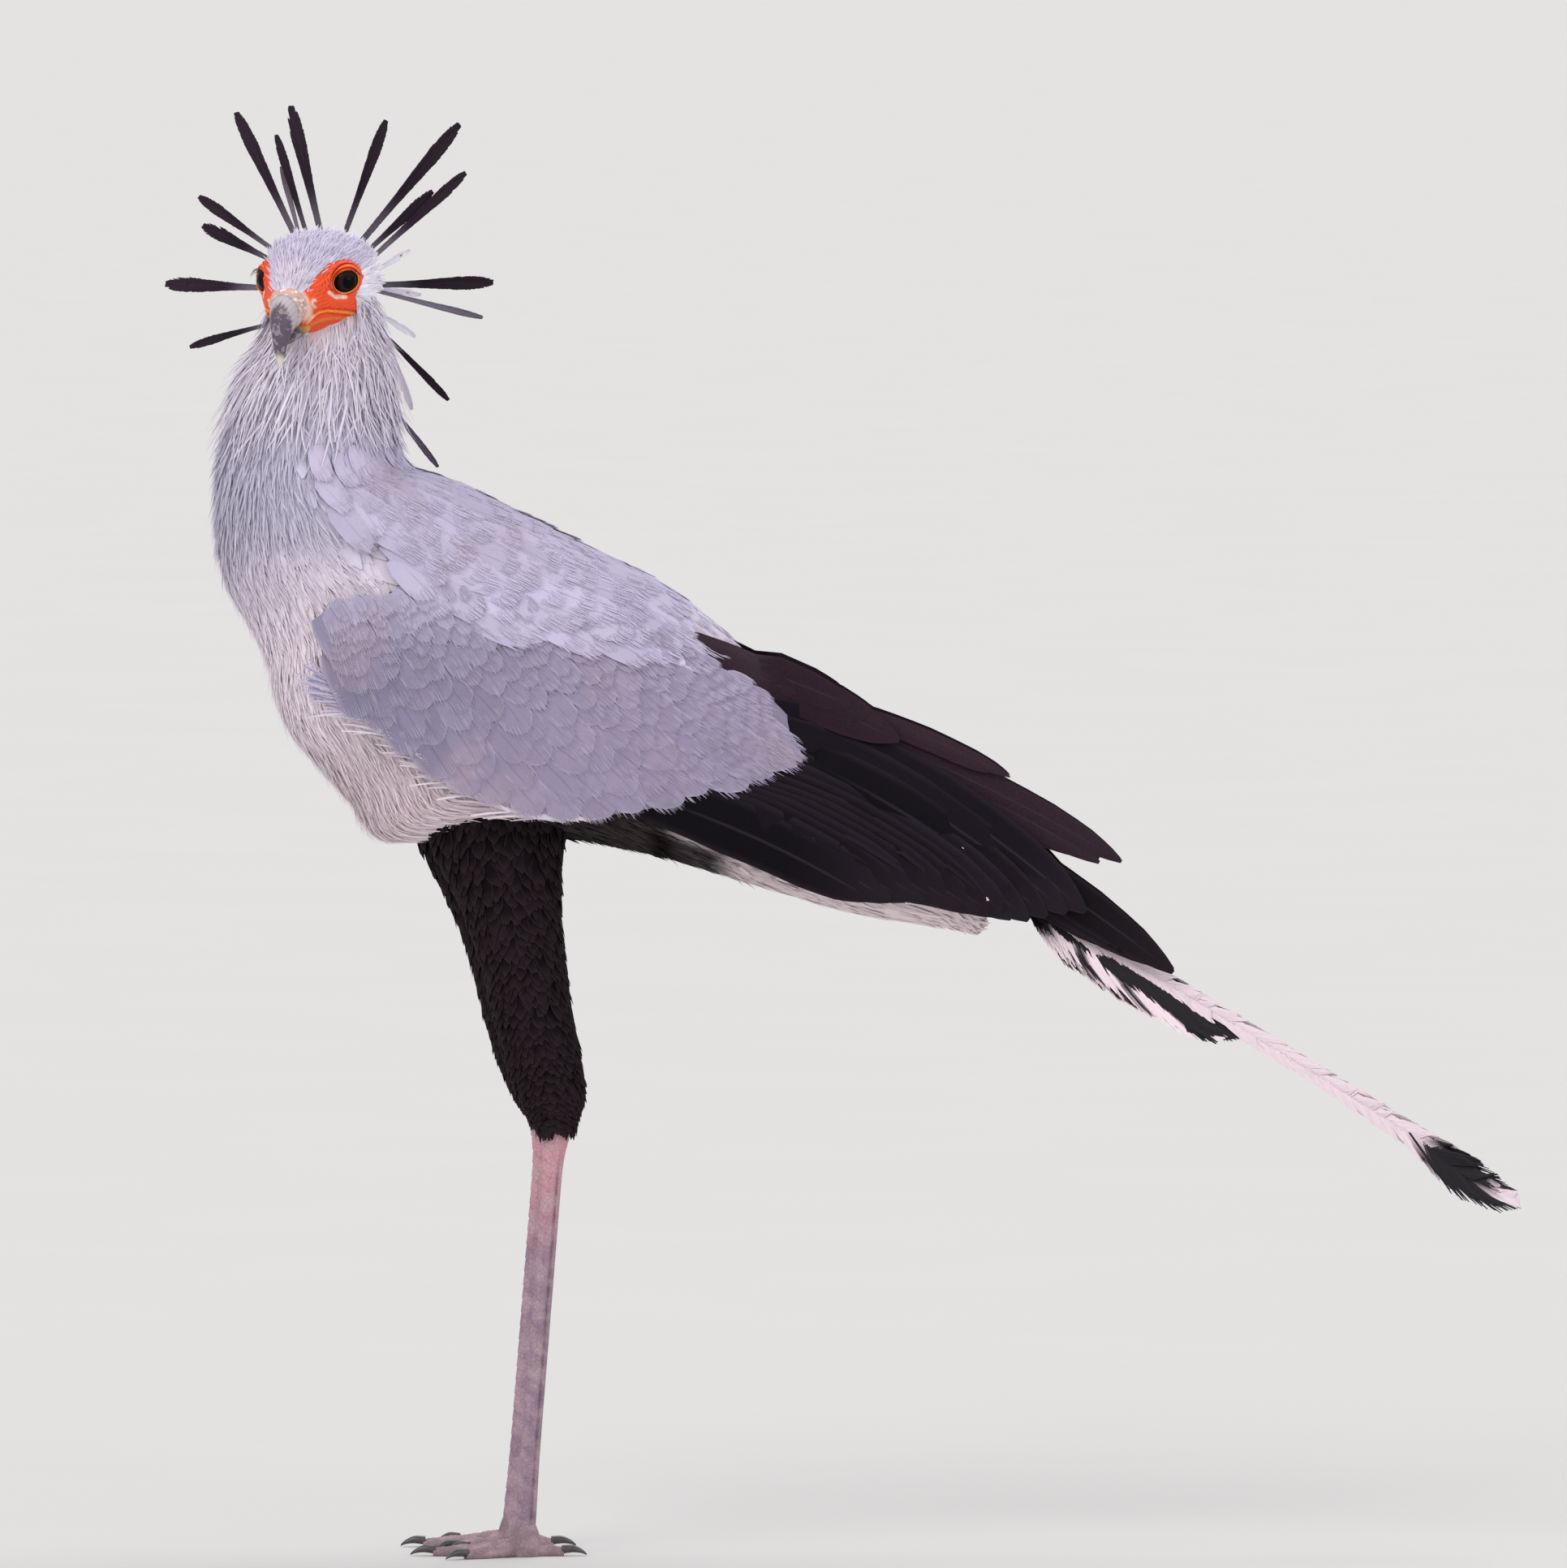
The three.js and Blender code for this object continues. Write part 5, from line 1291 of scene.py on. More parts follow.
def crest():
    """Plumes from the head and the neck: straight in the side view, swept back by a share of length.
    The black ones fade to lavender grey at the root."""
    table = []
    for plumes, on_head in ((HEAD_PLUMES, True), (NECK_PLUMES, False)):
        for x0, z0, x1, z1, width, tone in plumes:
            oval = 1 - (x0 * 26 / 46 / 46) ** 2 - (z0 * 20 / 34 / 36) ** 2
            depth = 40 * math.sqrt(max(oval, 0.05)) - 8 if on_head else 18.0
            table.append((x0, z0, x1, z1, width, tone, depth, 0.0 if on_head else 4.0))
    table = np.array(table, float)
    reach = np.hypot(table[:, 2] - table[:, 0], table[:, 3] - table[:, 1])
    dx, dz = (table[:, 2] - table[:, 0]) / reach, (table[:, 3] - table[:, 1]) / reach
    buried = 20
    length = reach + buried
    t = np.linspace(0, 1, PLUME_ROWS)[:, None]
    x = HEAD["centre"][0] + table[:, 0] - buried * dx + dx * length * t
    y = HEAD["centre"][1] + table[:, 6] + 0.42 * length * t**1.2
    z = HEAD["centre"][2] + table[:, 1] - buried * dz + dz * length * t - table[:, 7] * t * t
    centre = np.stack([x, y, z], -1)
    across = np.stack([-dz, np.full_like(dx, -0.35), dx], -1)
    out = np.cross(across[None], np.gradient(centre, axis=0))
    dark = table[:, 5] < 2
    for name, kept, split, finish, slot in (
        ("crest", dark, 0.22, black_feather, "black_plumage"),
        ("crest_pale", ~dark, 0.7, pale_feather, "pale_plumage"),
    ):
        made = barbed(centre[:, kept], out[:, kept], plume_width(t) * table[kept, 4], 0.05, PLUME_BARBS,
                      core=0.74, slant=3.2, split=split, soft=0.3)
        roots = np.stack([np.linspace(0.05, 0.95, kept.sum()), np.full(kept.sum(), 0.5)], -1)
        kind = table[kept, 5].astype(int)[made.owner]
        tints = blend((kind == 0) * soft_step(0.5, 0.2, made.vane[:, 1]) * 0.6, PLUME_TONES[kind],
                      PLUME_TONES[1])
        coat_piece(name, made, roots, tints, finish)


crest()

# %% [markdown]
# ## Head feathers
# The crown and cheeks have short, fine, dense feathers that lie back from the bill. They are
# lavender grey on the crown, whitish on the forehead, behind the eye and on the throat.

# %% Head tufts
def head_colour(points):
    """Lavender crown, whitish forehead and cheek, white throat."""
    d = points - HEAD["centre"]
    f, l, u = d @ FORWARD, d @ LEFT, d @ UP
    colour = blend(soft_step(2, 16, u), linear(0.97, 0.95, 1.0), CROWN)
    colour = blend(0.7 * soft_step(-2, -20, f) * soft_step(14, 30, u), colour, linear(0.93, 0.91, 0.95))
    forehead = soft_step(28, 50, f) * soft_step(19, 9, np.abs(l)) * soft_step(8, 14, u)
    colour = blend(0.75 * forehead, colour, linear(0.90, 0.86, 0.92))
    return blend(soft_step(-12, -24, u), colour, linear(0.96, 0.93, 0.96))


def head_tufts(name, u_step, v_step, length, width, lift, rows):
    """Short narrow feathers over the head, from the bill towards the nape, smallest near the bill."""
    u, v = jittered((0.2, 9.98), (0, 360), u_step, v_step)
    u = np.minimum(u, 9.97)
    keep = ~bare(skull(u, v))
    u, v = u[keep], v[keep]
    below = soft_step(0.25, -0.35, np.sin(np.radians(v)))
    size = (rng.uniform(0.75, 1.3, len(u)) * np.interp(u, [0, 5, 8, 10], [1.5, 1.15, 0.8, 0.5])
            * (1 + 0.9 * below))
    loose = rng.random(len(u)) ** 4
    heading = math.pi + 0.95 * below * np.cos(np.radians(v)) + rng.normal(0, 0.16, len(u))
    centre, out = rows_along(
        skull, u, v, heading, np.minimum(length * size, 2 + 9 * u),
        lambda t: lift[0] + (lift[1] - lift[0]) * t + lift[2] * loose * t * t, rows,
    )
    t = np.linspace(0, 1, rows)[:, None]
    made = feathers(centre, out, hackle_width(t) * width * np.sqrt(size), 0.08, soft=0.5)
    roots = np.stack([v / 360 % 1, u / 10], -1)
    streaks = (1 + 0.09 * np.sin(0.23 * v + 1.3 * u) * np.sin(5 * u + 0.11 * v)
               + rng.uniform(-0.15, 0.12, len(u)))
    return coat_piece(name, made, roots, head_colour(skull(u, v)) * streaks[:, None], pale_feather)


head_tufts("head_down", 0.16, 5.0, 9.0, 4.2, (-2.4, 0.3, 0.5), 4)
head_tufts("head_feathers", 0.12, 3.4, 11.0, 1.7, (-2.2, 1.4, 5.0), 4)

# %% [markdown]
# The face's skin is a ring-shaped grid: one direction goes round the eye, the other from the lids'
# edge out to the feathers and back underneath, so that it is closed. Each point lies on the head's
# form, found by Newton's method, and near the eye it bends to follow the ball. Lid ring, lid fold,
# brow, wrinkles, gape fold and wart are added as height.

# %% Places on the head behind the gaze plane
def on_skull(across, rise):
    """Section and angle of the head's surface that shows at a place of the gaze plane: from a first
    guess, both are mended eight times by the inverse of the 2 by 2 matrix of slopes."""
    guess = EYE_CENTRE + across[..., None] * TO_BILL + rise[..., None] * TO_BROW + 9 * GAZE
    table = np.array(SKULL, float)
    s = np.interp(guess[..., 0], table[:, 0], np.arange(len(table)))
    angle = np.degrees(np.arctan2(guess[..., 2] + 4, guess[..., 1]))
    for _ in range(8):
        a0, b0, _ = gaze_plane(skull_parts(s, angle))
        a1, b1, _ = gaze_plane(skull_parts(s + 0.01, angle))
        a2, b2, _ = gaze_plane(skull_parts(s, angle + 0.5))
        m00, m01, m10, m11 = (a1 - a0) / 0.01, (a2 - a0) / 0.5, (b1 - b0) / 0.01, (b2 - b0) / 0.5
        det = m00 * m11 - m01 * m10
        det = np.where(np.abs(det) < 1e-3, 1e-3, det)
        da, db = across - a0, rise - b0
        s = np.clip(s + np.clip((m11 * da - m01 * db) / det, -0.6, 0.6), 3.0, 10.0)
        angle = np.clip(angle + np.clip((m00 * db - m10 * da) / det, -12, 12), -100, 110)
    return s, angle


def near_line(across, rise, line):
    """Distance of places from a broken line in the gaze plane, and the share along it."""
    best, share = np.full(across.shape, 1e9), np.zeros(across.shape)
    for index, ((a0, b0), (a1, b1)) in enumerate(zip(line[:-1], line[1:])):
        da, db = a1 - a0, b1 - b0
        t = np.clip(((across - a0) * da + (rise - b0) * db) / (da * da + db * db), 0, 1)
        away = np.hypot(across - a0 - t * da, rise - b0 - t * db)
        share = np.where(away < best, (index + t) / (len(line) - 1), share)
        best = np.minimum(best, away)
    return best, share


def bump(x, place, width):
    return np.exp(-(((x - place) / width) ** 2))


print("head section behind the gaze axis:", np.round(on_skull(np.array([0.0]), np.array([0.0])), 2).ravel())

# %% Face skin
face_skin = Finish("bare face", Roughness=0.45, Specular_IOR_Level=0.4)
tint = face_skin.attribute("tint")
fold = face_skin.noise(520.0, 5.0)
pebble = face_skin.node("ShaderNodeTexVoronoi", None, {"Vector": face_skin.place(), "Scale": 950.0})
face_skin.finish(face_skin.mix(fold.ramp(0.45, 0.75) * 0.3, tint, (0.40, 0.03, 0.01)),
                 height=fold + pebble * 0.4, depth=0.0007, strength=0.7)
ORANGE, RED = linear(0.95, 0.31, 0.10), linear(0.84, 0.16, 0.06)
YELLOW, MUSTARD = linear(0.98, 0.66, 0.16), linear(0.80, 0.58, 0.20)
PINK, CREAM = linear(0.97, 0.84, 0.80), linear(0.93, 0.84, 0.76)
GAPE_LINE = [(44, -14), (38, -11), (32, -10), (25, -12), (18, -16.5), (9, -22.5), (1.5, -28.5)]
LOWER_LINE = [(42, -17), (33, -17), (26, -19), (18, -23), (10, -28)]
FACE_TURN, FACE_OUT, FACE_BACK = 260, 96, 3


def face_height(direction, over, across, rise):
    """Height of the skin's relief in millimetres, and its colour, with painted shade in the wrinkles'
    troughs, in the grooves round the lid ring, above the lid fold and beside the gape, and at the lids' edge.
    """
    turn = np.degrees(direction)
    above = soft_step(-5, 25, turn) * soft_step(185, 150, turn)
    below = 1 - soft_step(-20, 10, turn) * soft_step(170, 140, turn)
    ring = bump(over, 0.8, 0.55)
    lid_fold = bump(over, 3.5, 0.8) * above
    brow = bump(over, 6.3, 1.7) * soft_step(5, 35, turn) * soft_step(160, 125, turn)
    creases = (np.sin(over * 2.3 + 1.8 * np.sin(direction * 7) + 1.1 * np.sin(rise * 0.9))
               * (0.55 + 0.45 * np.sin(direction * 23 + over)))
    creases = (creases * soft_step(3, 5, over) * soft_step(20, 10, over) * soft_step(-35, 10, turn)
               * soft_step(120, 70, turn))
    lore = np.sin(rise * 2.1 + 0.9 * np.sin(across * 0.6)) * soft_step(9, 14, over) * soft_step(26, 20, over)
    gape, _ = near_line(across, rise, GAPE_LINE)
    lower, _ = near_line(across, rise, LOWER_LINE)
    crescent, _ = near_line(across, rise, [(18.4, 0.4), (14.4, -5.6), (6.6, -9.7)])
    wart = np.hypot(across - 33.0, (rise + 1.5) * 0.7)
    curl = soft_step(-0.9, -0.3, np.cos(np.arctan2(rise + 1.5, across - 33.0) - 0.6))
    height = 0.6 * ring - 0.8 * bump(over, 2.0, 0.5) + 1.2 * lid_fold - 0.9 * bump(over, 4.9, 0.5) * above
    height = height + 1.7 * brow + 0.45 * creases + 0.3 * lore
    height = height + 1.3 * bump(gape, 0, 1.1) - 0.8 * bump(gape, 2.2, 0.7) + 0.9 * bump(lower, 0, 1.2)
    height = height + 0.6 * bump(crescent, 0, 1.0) + 1.5 * bump(wart, 1.8, 0.8) * curl
    colour = blend(brow * 0.35 + 0.3 * soft_step(0.2, 1.0, creases),
                   np.broadcast_to(ORANGE, over.shape + (3,)), RED)
    # painted shade: the wrinkles' troughs are darkened
    colour = blend(0.6 * soft_step(0.0, -0.8, creases) * soft_step(-20, 20, turn), colour,
                   linear(0.50, 0.12, 0.05))
    # painted shade: a dark line in the crease above the lid fold
    colour = blend(0.75 * bump(over, 4.9, 0.6) * above, colour, linear(0.42, 0.07, 0.03))
    colour = blend(0.5 * lid_fold, colour, linear(1.0, 0.50, 0.12))
    colour = blend(ring * below * 0.8, colour, YELLOW)
    colour = blend(ring * (1 - below) * 0.3, colour, YELLOW)
    # the lids' edge is darkened: partly the lids' own dark rim, partly painted shade where the lid meets the
    # ball
    colour = blend(0.8 * soft_step(0.55, 0.1, over), colour, linear(0.16, 0.06, 0.04))
    # painted shade: deep red in the groove just outside the lid ring
    colour = blend(0.7 * bump(over, 2.0, 0.45), colour, linear(0.62, 0.12, 0.04))
    colour = blend(0.85 * soft_step(2.1, 0.8, crescent), colour, PINK)
    colour = blend(0.75 * bump(gape, 0, 1.0), colour, YELLOW)
    # painted shade: darker in the groove beside the gape fold
    colour = blend(0.35 * bump(gape, 2.0, 0.6), colour, linear(0.50, 0.12, 0.06))
    colour = blend(0.65 * bump(lower, 0, 1.1), colour, MUSTARD)
    colour = blend(bump(wart, 1.8, 1.0) * curl, colour, CREAM)
    return height, colour


def face_patch(side, word):
    """The ring-shaped grid: front rows from the lids' edge to the feathers, then rows underneath."""
    direction = np.arange(FACE_TURN) * 2 * math.pi / FACE_TURN
    direction = (direction + math.pi) % (2 * math.pi) - math.pi
    reach = np.linspace(0, 1, FACE_OUT)[:, None] ** 1.25
    inner, outer = opening(direction), face_edge(direction) + 3.0
    away = inner + (outer - inner) * reach
    turn = np.broadcast_to(direction, away.shape)
    across, rise = away * np.cos(turn), away * np.sin(turn)
    s, angle = on_skull(across, rise)
    over = away - inner
    edge = away - (outer - 3.0)
    height, colour = face_height(turn, over, across, rise)
    _, _, deep = gaze_plane(skull_parts(s, angle))
    shown = soft_step(0.6, -1.0, edge)
    on_ball = np.sqrt(EYE_RADIUS**2 - inner**2) + 0.35 - 0.25 * over
    share = soft_step(0.5, 7.5, over)
    depth = (on_ball + (deep - on_ball) * share + height * shown + 0.5 * shown
             - 3.2 * soft_step(-0.6, 2.4, edge))
    front = np.stack([across, rise, depth], -1)
    back = [
        np.stack([across[-1], rise[-1], depth[-1] - 2.0], -1),
        np.stack([across[40], rise[40], np.minimum(depth[40] - 3.0, 3.0)], -1),
        np.stack([1.05 * across[0], 1.05 * rise[0], depth[0] - 2.0], -1),
    ]
    sheet = np.concatenate([front, np.stack(back)])
    parts = EYE_CENTRE + sheet[..., :1] * TO_BILL + sheet[..., 1:2] * TO_BROW + sheet[..., 2:] * GAZE
    forward = parts[:FACE_OUT, :, 0]
    scaly = soft_step(52.5, 55.5, forward) * soft_step(-14, -6, parts[:FACE_OUT, :, 2])
    colour = blend(0.8 * scaly, colour, CREAM)
    tints = np.concatenate([colour, np.broadcast_to(ORANGE, (FACE_BACK, FACE_TURN, 3))])
    points = in_head(*np.moveaxis(parts * (np.ones(3) if side > 0 else MIRROR), -1, 0))
    rows = FACE_OUT + FACE_BACK
    wrap = np.arange(rows * FACE_TURN).reshape(rows, FACE_TURN)
    nxt, right = np.roll(wrap, -1, 0), np.roll(wrap, -1, 1)
    faces = np.stack([wrap, right, np.roll(nxt, -1, 1), nxt], -1).reshape(-1, 4)
    if side < 0:
        faces = faces[:, ::-1]
    return piece(f"face_{word}", points.reshape(-1, 3), faces, face_skin.material,
                 values={"tint": tints.reshape(-1, 3)})


for word, side in SIDES:
    face_patch(side, word)

# %% [markdown]
# ## Eyes
# A secretary bird's eye is large and dark brown. A clear cornea would be a second shell; here the
# ball itself is glossy, with iris and pupil drawn by distance from its axis. Stiff dark lashes stand
# over it from the upper lid.

# %% Eyeballs
eye_look = Finish("eye", Roughness=0.1, Specular_IOR_Level=0.08)
ring = eye_look.attribute("ring", output=2)
iris_grain = eye_look.noise(900.0, 3.0)
pupil = 1 - ring.ramp(0.42, 0.47)
limb = ring.ramp(0.66, 0.76)
iris = eye_look.mix(iris_grain, (0.012, 0.006, 0.005), (0.030, 0.013, 0.009))
eye_look.finish(eye_look.mix(limb, eye_look.mix(pupil, iris, (0.001, 0.001, 0.001)), (0.008, 0.004, 0.004)))
EYE_ROWS, EYE_TURN = 40, 48


def eyeball(side, word):
    """A ball with the distance from its axis kept as ring."""
    polar = np.linspace(0, math.pi, EYE_ROWS)
    round_ = np.arange(EYE_TURN) * 2 * math.pi / EYE_TURN
    polar, round_ = np.meshgrid(polar[1:-1], round_, indexing="ij")
    flip = np.ones(3) if side > 0 else MIRROR
    rim = np.sin(polar)[..., None] * (
        np.cos(round_)[..., None] * TO_BILL + np.sin(round_)[..., None] * TO_BROW)
    local = rim + np.cos(polar)[..., None] * GAZE
    local = np.concatenate([local.reshape(-1, 3), GAZE[None], -GAZE[None]])
    points = in_head(*np.moveaxis((EYE_CENTRE + EYE_RADIUS * local) * flip, -1, 0))
    rows = EYE_ROWS - 2
    faces = [quads(rows, EYE_TURN, closed=True), *pole_caps(rows, EYE_TURN)]
    if side < 0:
        faces = [f[:, ::-1] for f in faces]
    ring_of = np.concatenate([(np.sin(polar) + (np.cos(polar) < 0)).ravel(), [0.0, 1.0]])
    return piece(f"eyeball_{word}", points, faces, eye_look.material, (f"eye_{word}",),
                 values={"ring": ring_of})


def lashes(side, word):
    """Curved bristles from the upper lid: each leaves along the gaze and bends up and back."""
    count = 11
    turn = np.radians(np.linspace(45, 165, count))
    away = opening(turn) + 1.0
    root = np.stack([away * np.cos(turn), away * np.sin(turn),
                     np.sqrt(EYE_RADIUS**2 - (away - 1) ** 2) + 0.8], -1)
    length = 5.5 + 2.5 * np.sin(np.linspace(0.4, 2.9, count))
    t = np.linspace(0, 1, 7)[:, None, None]
    lean = np.stack([0.3 * np.cos(turn), 0.25 * np.sin(turn), np.full(count, 0.95)], -1)
    curl = np.array([-0.15, -0.9, -0.25])
    local = root + length[:, None] * (lean * t + curl * t * t)
    out_local = np.broadcast_to(np.array([0.0, 1.0, -0.4]), local.shape)
    flip = np.ones(3) if side > 0 else MIRROR
    centre = EYE_CENTRE + local[..., :1] * TO_BILL + local[..., 1:2] * TO_BROW + local[..., 2:] * GAZE
    out = out_local[..., :1] * TO_BILL + out_local[..., 1:2] * TO_BROW + out_local[..., 2:] * GAZE
    turned_out = (out * flip) @ np.stack([FORWARD, LEFT, UP])
    centre = in_head(*np.moveaxis(centre * flip, -1, 0))
    widths = np.interp(np.linspace(0, 1, 7), [0, 0.5, 1], [0.6, 0.45, 0.12])[:, None] * np.ones(count)
    made = feathers(centre, turned_out, widths, 0.6, soft=0.0)
    roots = np.stack([np.linspace(0.1, 0.9, count), np.full(count, 0.5 + 0.2 * side)], -1)
    return coat_piece(f"lashes_{word}", made, roots, np.tile(linear(0.12, 0.10, 0.12), (count, 1)),
                      black_feather)


for word, side in SIDES:
    eyeball(side, word)
    lashes(side, word)

# %% [markdown]
# ## Bill
# The bill is short, deep and hooked, with a fleshy cere at its base. Its sections run from the base
# along the curve to the point: the ridge above, the cutting edge below. The nostril is a slit.

# %% Bill
BILL = [
    [55.5, 15.6, 55.5, -10.5, 13.8], [61.5, 16.2, 61, -11.4, 13.2], [66, 15, 65, -12.4, 11.9],
    [74.5, 10.5, 71.5, -14.3, 9.9], [81.5, 3.5, 76.4, -17, 8.0], [86.5, -6, 80.6, -20.5, 6.0],
    [89.8, -17, 84.8, -25.4, 4.4], [91.3, -27, 88.3, -30.4, 2.2], [91.4, -34, 90.6, -34, 0.6],
]
LOWER_BILL = [
    [55.5, -11.0, 55.5, -21.5, 13.4], [64, -12.3, 64, -21.5, 11.4], [71, -14.2, 71, -21.2, 8.6],
    [76, -16.9, 76, -20.8, 5.8], [79.5, -19.2, 79.5, -20.4, 2.5],
]

horn = Finish("bill horn", Roughness=0.42, Specular_IOR_Level=0.4)
tint = horn.attribute("tint")
grain = horn.noise(350.0, 5.0)
blotch = horn.noise(190.0, 6.0).ramp(0.52, 0.58)
flake = horn.noise(230.0, 5.0).ramp(0.5, 0.6) * horn.attribute("cere", output=2)
worn = horn.mix(blotch * 0.45 * (1 - horn.attribute("cere", output=2)), tint,
                linear(0.70, 0.66, 0.69).tolist())
horn.finish(horn.mix(flake * 0.85, worn, linear(0.95, 0.92, 0.90).tolist()), height=grain + flake,
            depth=0.0006)


def bill_relief(s, angle):
    """Height on the upper bill: the cere ends in a step, carries small scales, and is cut by the
    nostril's slit on each side."""
    side_angle = np.where(angle > 90, 180 - angle, angle)
    cere = soft_step(2.25, 1.9, s + 0.004 * (side_angle - 30))
    scales = 0.28 * np.sin(s * 21 + 2 * np.sin(angle * 0.09)) * np.sin(np.radians(angle) * 15) * cere
    slit = (bump(s - (0.86 + 0.0086 * (side_angle - 5)), 0, 0.10)
            * soft_step(-4, 4, side_angle) * soft_step(47, 38, side_angle))
    ledge = (bump(s - (1.12 + 0.0086 * (side_angle - 5)), 0, 0.12)
             * soft_step(-8, 4, side_angle) * soft_step(52, 42, side_angle))
    return 0.7 * cere + scales - 2.2 * slit + 0.7 * ledge, cere, slit


def bill_form(table, upper, power=2.2):
    """Rings across the bill: half height from ridge to cutting edge, half width from the table."""
    def surface(s, angle, lift=0.0):
        f0, u0, f1, u1, half = np.moveaxis(spline(table, s), -1, 0)
        lift = lift + (bill_relief(s, (angle + 90) % 360 - 90)[0] if upper else 0.0)
        top, edge = in_head(f0, 0.0, u0), in_head(f1, 0.0, u1)
        middle, up = (top + edge) / 2, (top - edge) / 2
        height = np.linalg.norm(up, axis=-1)
        c, d = np.cos(np.radians(angle)), np.sin(np.radians(angle))
        side = np.sign(c) * np.abs(c) ** (2 / power) * (half + lift)
        rise = np.sign(d) * np.abs(d) ** (2 / power) * (height + lift) / height
        return middle + side[..., None] * LEFT + rise[..., None] * up
    return surface


def bill_colour(s, angle, upper):
    """Cream cere with white flecks, dark purple-grey ridge, light grey sides, yellowish point."""
    angle = (angle + 90) % 360 - 90
    side_angle = np.where(angle > 90, 180 - angle, angle)
    shape = s.shape + (3,)
    if not upper:
        colour = blend(soft_step(0.3, 1.3, s), np.broadcast_to(MUSTARD, shape), linear(0.40, 0.35, 0.36))
        return blend(soft_step(3.2, 4.0, s), colour, linear(0.55, 0.50, 0.46))
    _, cere, slit = bill_relief(s, angle)
    streak = 0.5 + 0.5 * np.sin(angle * 0.55 + 2.2 * np.sin(s * 2.3)) * np.sin(s * 9 + angle * 0.2)
    grey = blend(0.4 * streak, np.broadcast_to(linear(0.76, 0.72, 0.74), shape), linear(0.56, 0.51, 0.56))
    dark = soft_step(2.9, 3.5, s + 0.5 * (streak - 0.5) + 0.009 * (side_angle - 40)) * soft_step(7.0, 6.3, s)
    colour = blend(0.9 * dark, grey, linear(0.27, 0.22, 0.29))
    colour = blend(0.7 * soft_step(-20, -50, side_angle) * soft_step(6, 4, s), colour,
                   linear(0.40, 0.35, 0.38))
    colour = blend(soft_step(6.2, 7.2, s), colour, linear(0.88, 0.85, 0.78))
    warm = soft_step(48, 75, side_angle) * soft_step(1.4, 0.3, s)
    cere_tone = blend(0.45 * warm, np.broadcast_to(linear(0.80, 0.66, 0.62), shape), linear(0.95, 0.66, 0.42))
    colour = blend(cere, colour, cere_tone)
    line = (bump(s - (2.15 + 0.004 * (30 - side_angle)), 0, 0.1) * soft_step(-30, 0, side_angle)
            * (0.4 + 0.6 * streak))
    # painted shade: the nostril's slit is darkened as the shade inside it; a broken dark line also runs along
    # the cere's step
    return blend(np.clip(0.9 * slit + 0.5 * line, 0, 1), colour, linear(0.22, 0.17, 0.19))


def bill_piece(name, table, upper, node, stations=110, sides=96):
    """A closed tube of horn whose colours are worked out at the same places as its points."""
    last = len(table) - 1
    points, faces = tube(bill_form(table, upper), np.linspace(0, last, stations), sides, 0.0)
    s, a = np.meshgrid(np.linspace(0, last, stations), np.arange(sides) * 360 / sides, indexing="ij")
    tints = bill_colour(s, a, upper).reshape(-1, 3)
    cere = (bill_relief(s, (a + 90) % 360 - 90)[1] * upper).ravel()
    values = {"tint": np.concatenate([tints, tints[:1], tints[-1:]]),
              "cere": np.concatenate([cere, cere[:1], cere[-1:]])}
    piece(name, points, faces, horn.material, (node,), values=values)


bill_piece("bill_upper_horn", BILL, True, "bill_upper")
bill_piece("bill_lower_horn", LOWER_BILL, False, "bill_lower", 60, 64)

# %% [markdown]
# ## Thigh feathers
# The thighs wear short, dense black feathers down to the heel, each with a fine pale edge that
# draws a scale pattern. A ragged hem hangs over the heel.

# %% Thighs
def thigh_coat(side, word):
    """Small feathers over a thigh, pointing down."""
    def form(s, angle, lift=0.0):
        return thigh(s, angle, lift, side)

    u, v = jittered((0.0, 6.95), (0, 360), 0.14, 9.0)
    u = np.maximum(u, 0.05)
    size = rng.uniform(0.8, 1.2, len(u)) * np.interp(u, [0, 5, 7.7], [1.15, 1.0, 0.8])
    loose = rng.random(len(u)) ** 4
    centre, out = rows_along(
        form, u, v, rng.normal(0, 0.16, len(u)), 20 * size, lambda t: -3.0 + 3.6 * t + 2.0 * loose * t * t, 5,
    )
    t = np.linspace(0, 1, 5)[:, None]
    made = feathers(centre, out, soft_width(t) * 9.5 * size, 0.09, soft=0.75)
    roots = np.stack([v / 360 % 1, u / 9], -1)
    tints = np.broadcast_to(linear(0.07, 0.05, 0.065), (len(u), 3)) * rng.uniform(0.7, 1.3, (len(u), 1))
    return coat_piece(f"thigh_feathers_{word}", made, roots, tints, thigh_feather)


for word, side in SIDES:
    thigh_coat(side, word)

# %% [markdown]
# ## Shanks and feet
# The shank is a long bone in tight scaly skin: a knobbed heel, a slim shaft with plates down its
# front, and a short strong foot with three toes ahead and one behind.

# %% Leg skin
scales = Finish("leg skin", Roughness=0.6, Specular_IOR_Level=0.3)
tint = scales.attribute("tint")
cell_inputs = {"Vector": scales.place(), "Scale": 300.0}
cells = scales.node("ShaderNodeTexVoronoi", {"feature": "DISTANCE_TO_EDGE"}, cell_inputs)
groove = cells.ramp(0.0, 0.12)
blotch = scales.noise(75.0, 5.0).ramp(0.35, 0.7)
base = scales.mix(blotch * 0.6, tint, linear(0.74, 0.63, 0.66).tolist())
scales.finish(scales.mix((1 - groove) * 0.2, base, linear(0.34, 0.26, 0.29).tolist()), height=groove,
              depth=0.0003)

SHANK = {"heel": 12.5, "waist": 7.2, "foot": 8.4, "width": 0.84, "scutes": 30, "top": 328.0, "low": 23.0}
SHANK_X = {"top": 23.0, "foot": -2.0}
LEG_GREY, LEG_PINK, LEG_DARK = linear(0.57, 0.48, 0.55), linear(0.80, 0.58, 0.62), linear(0.34, 0.26, 0.31)


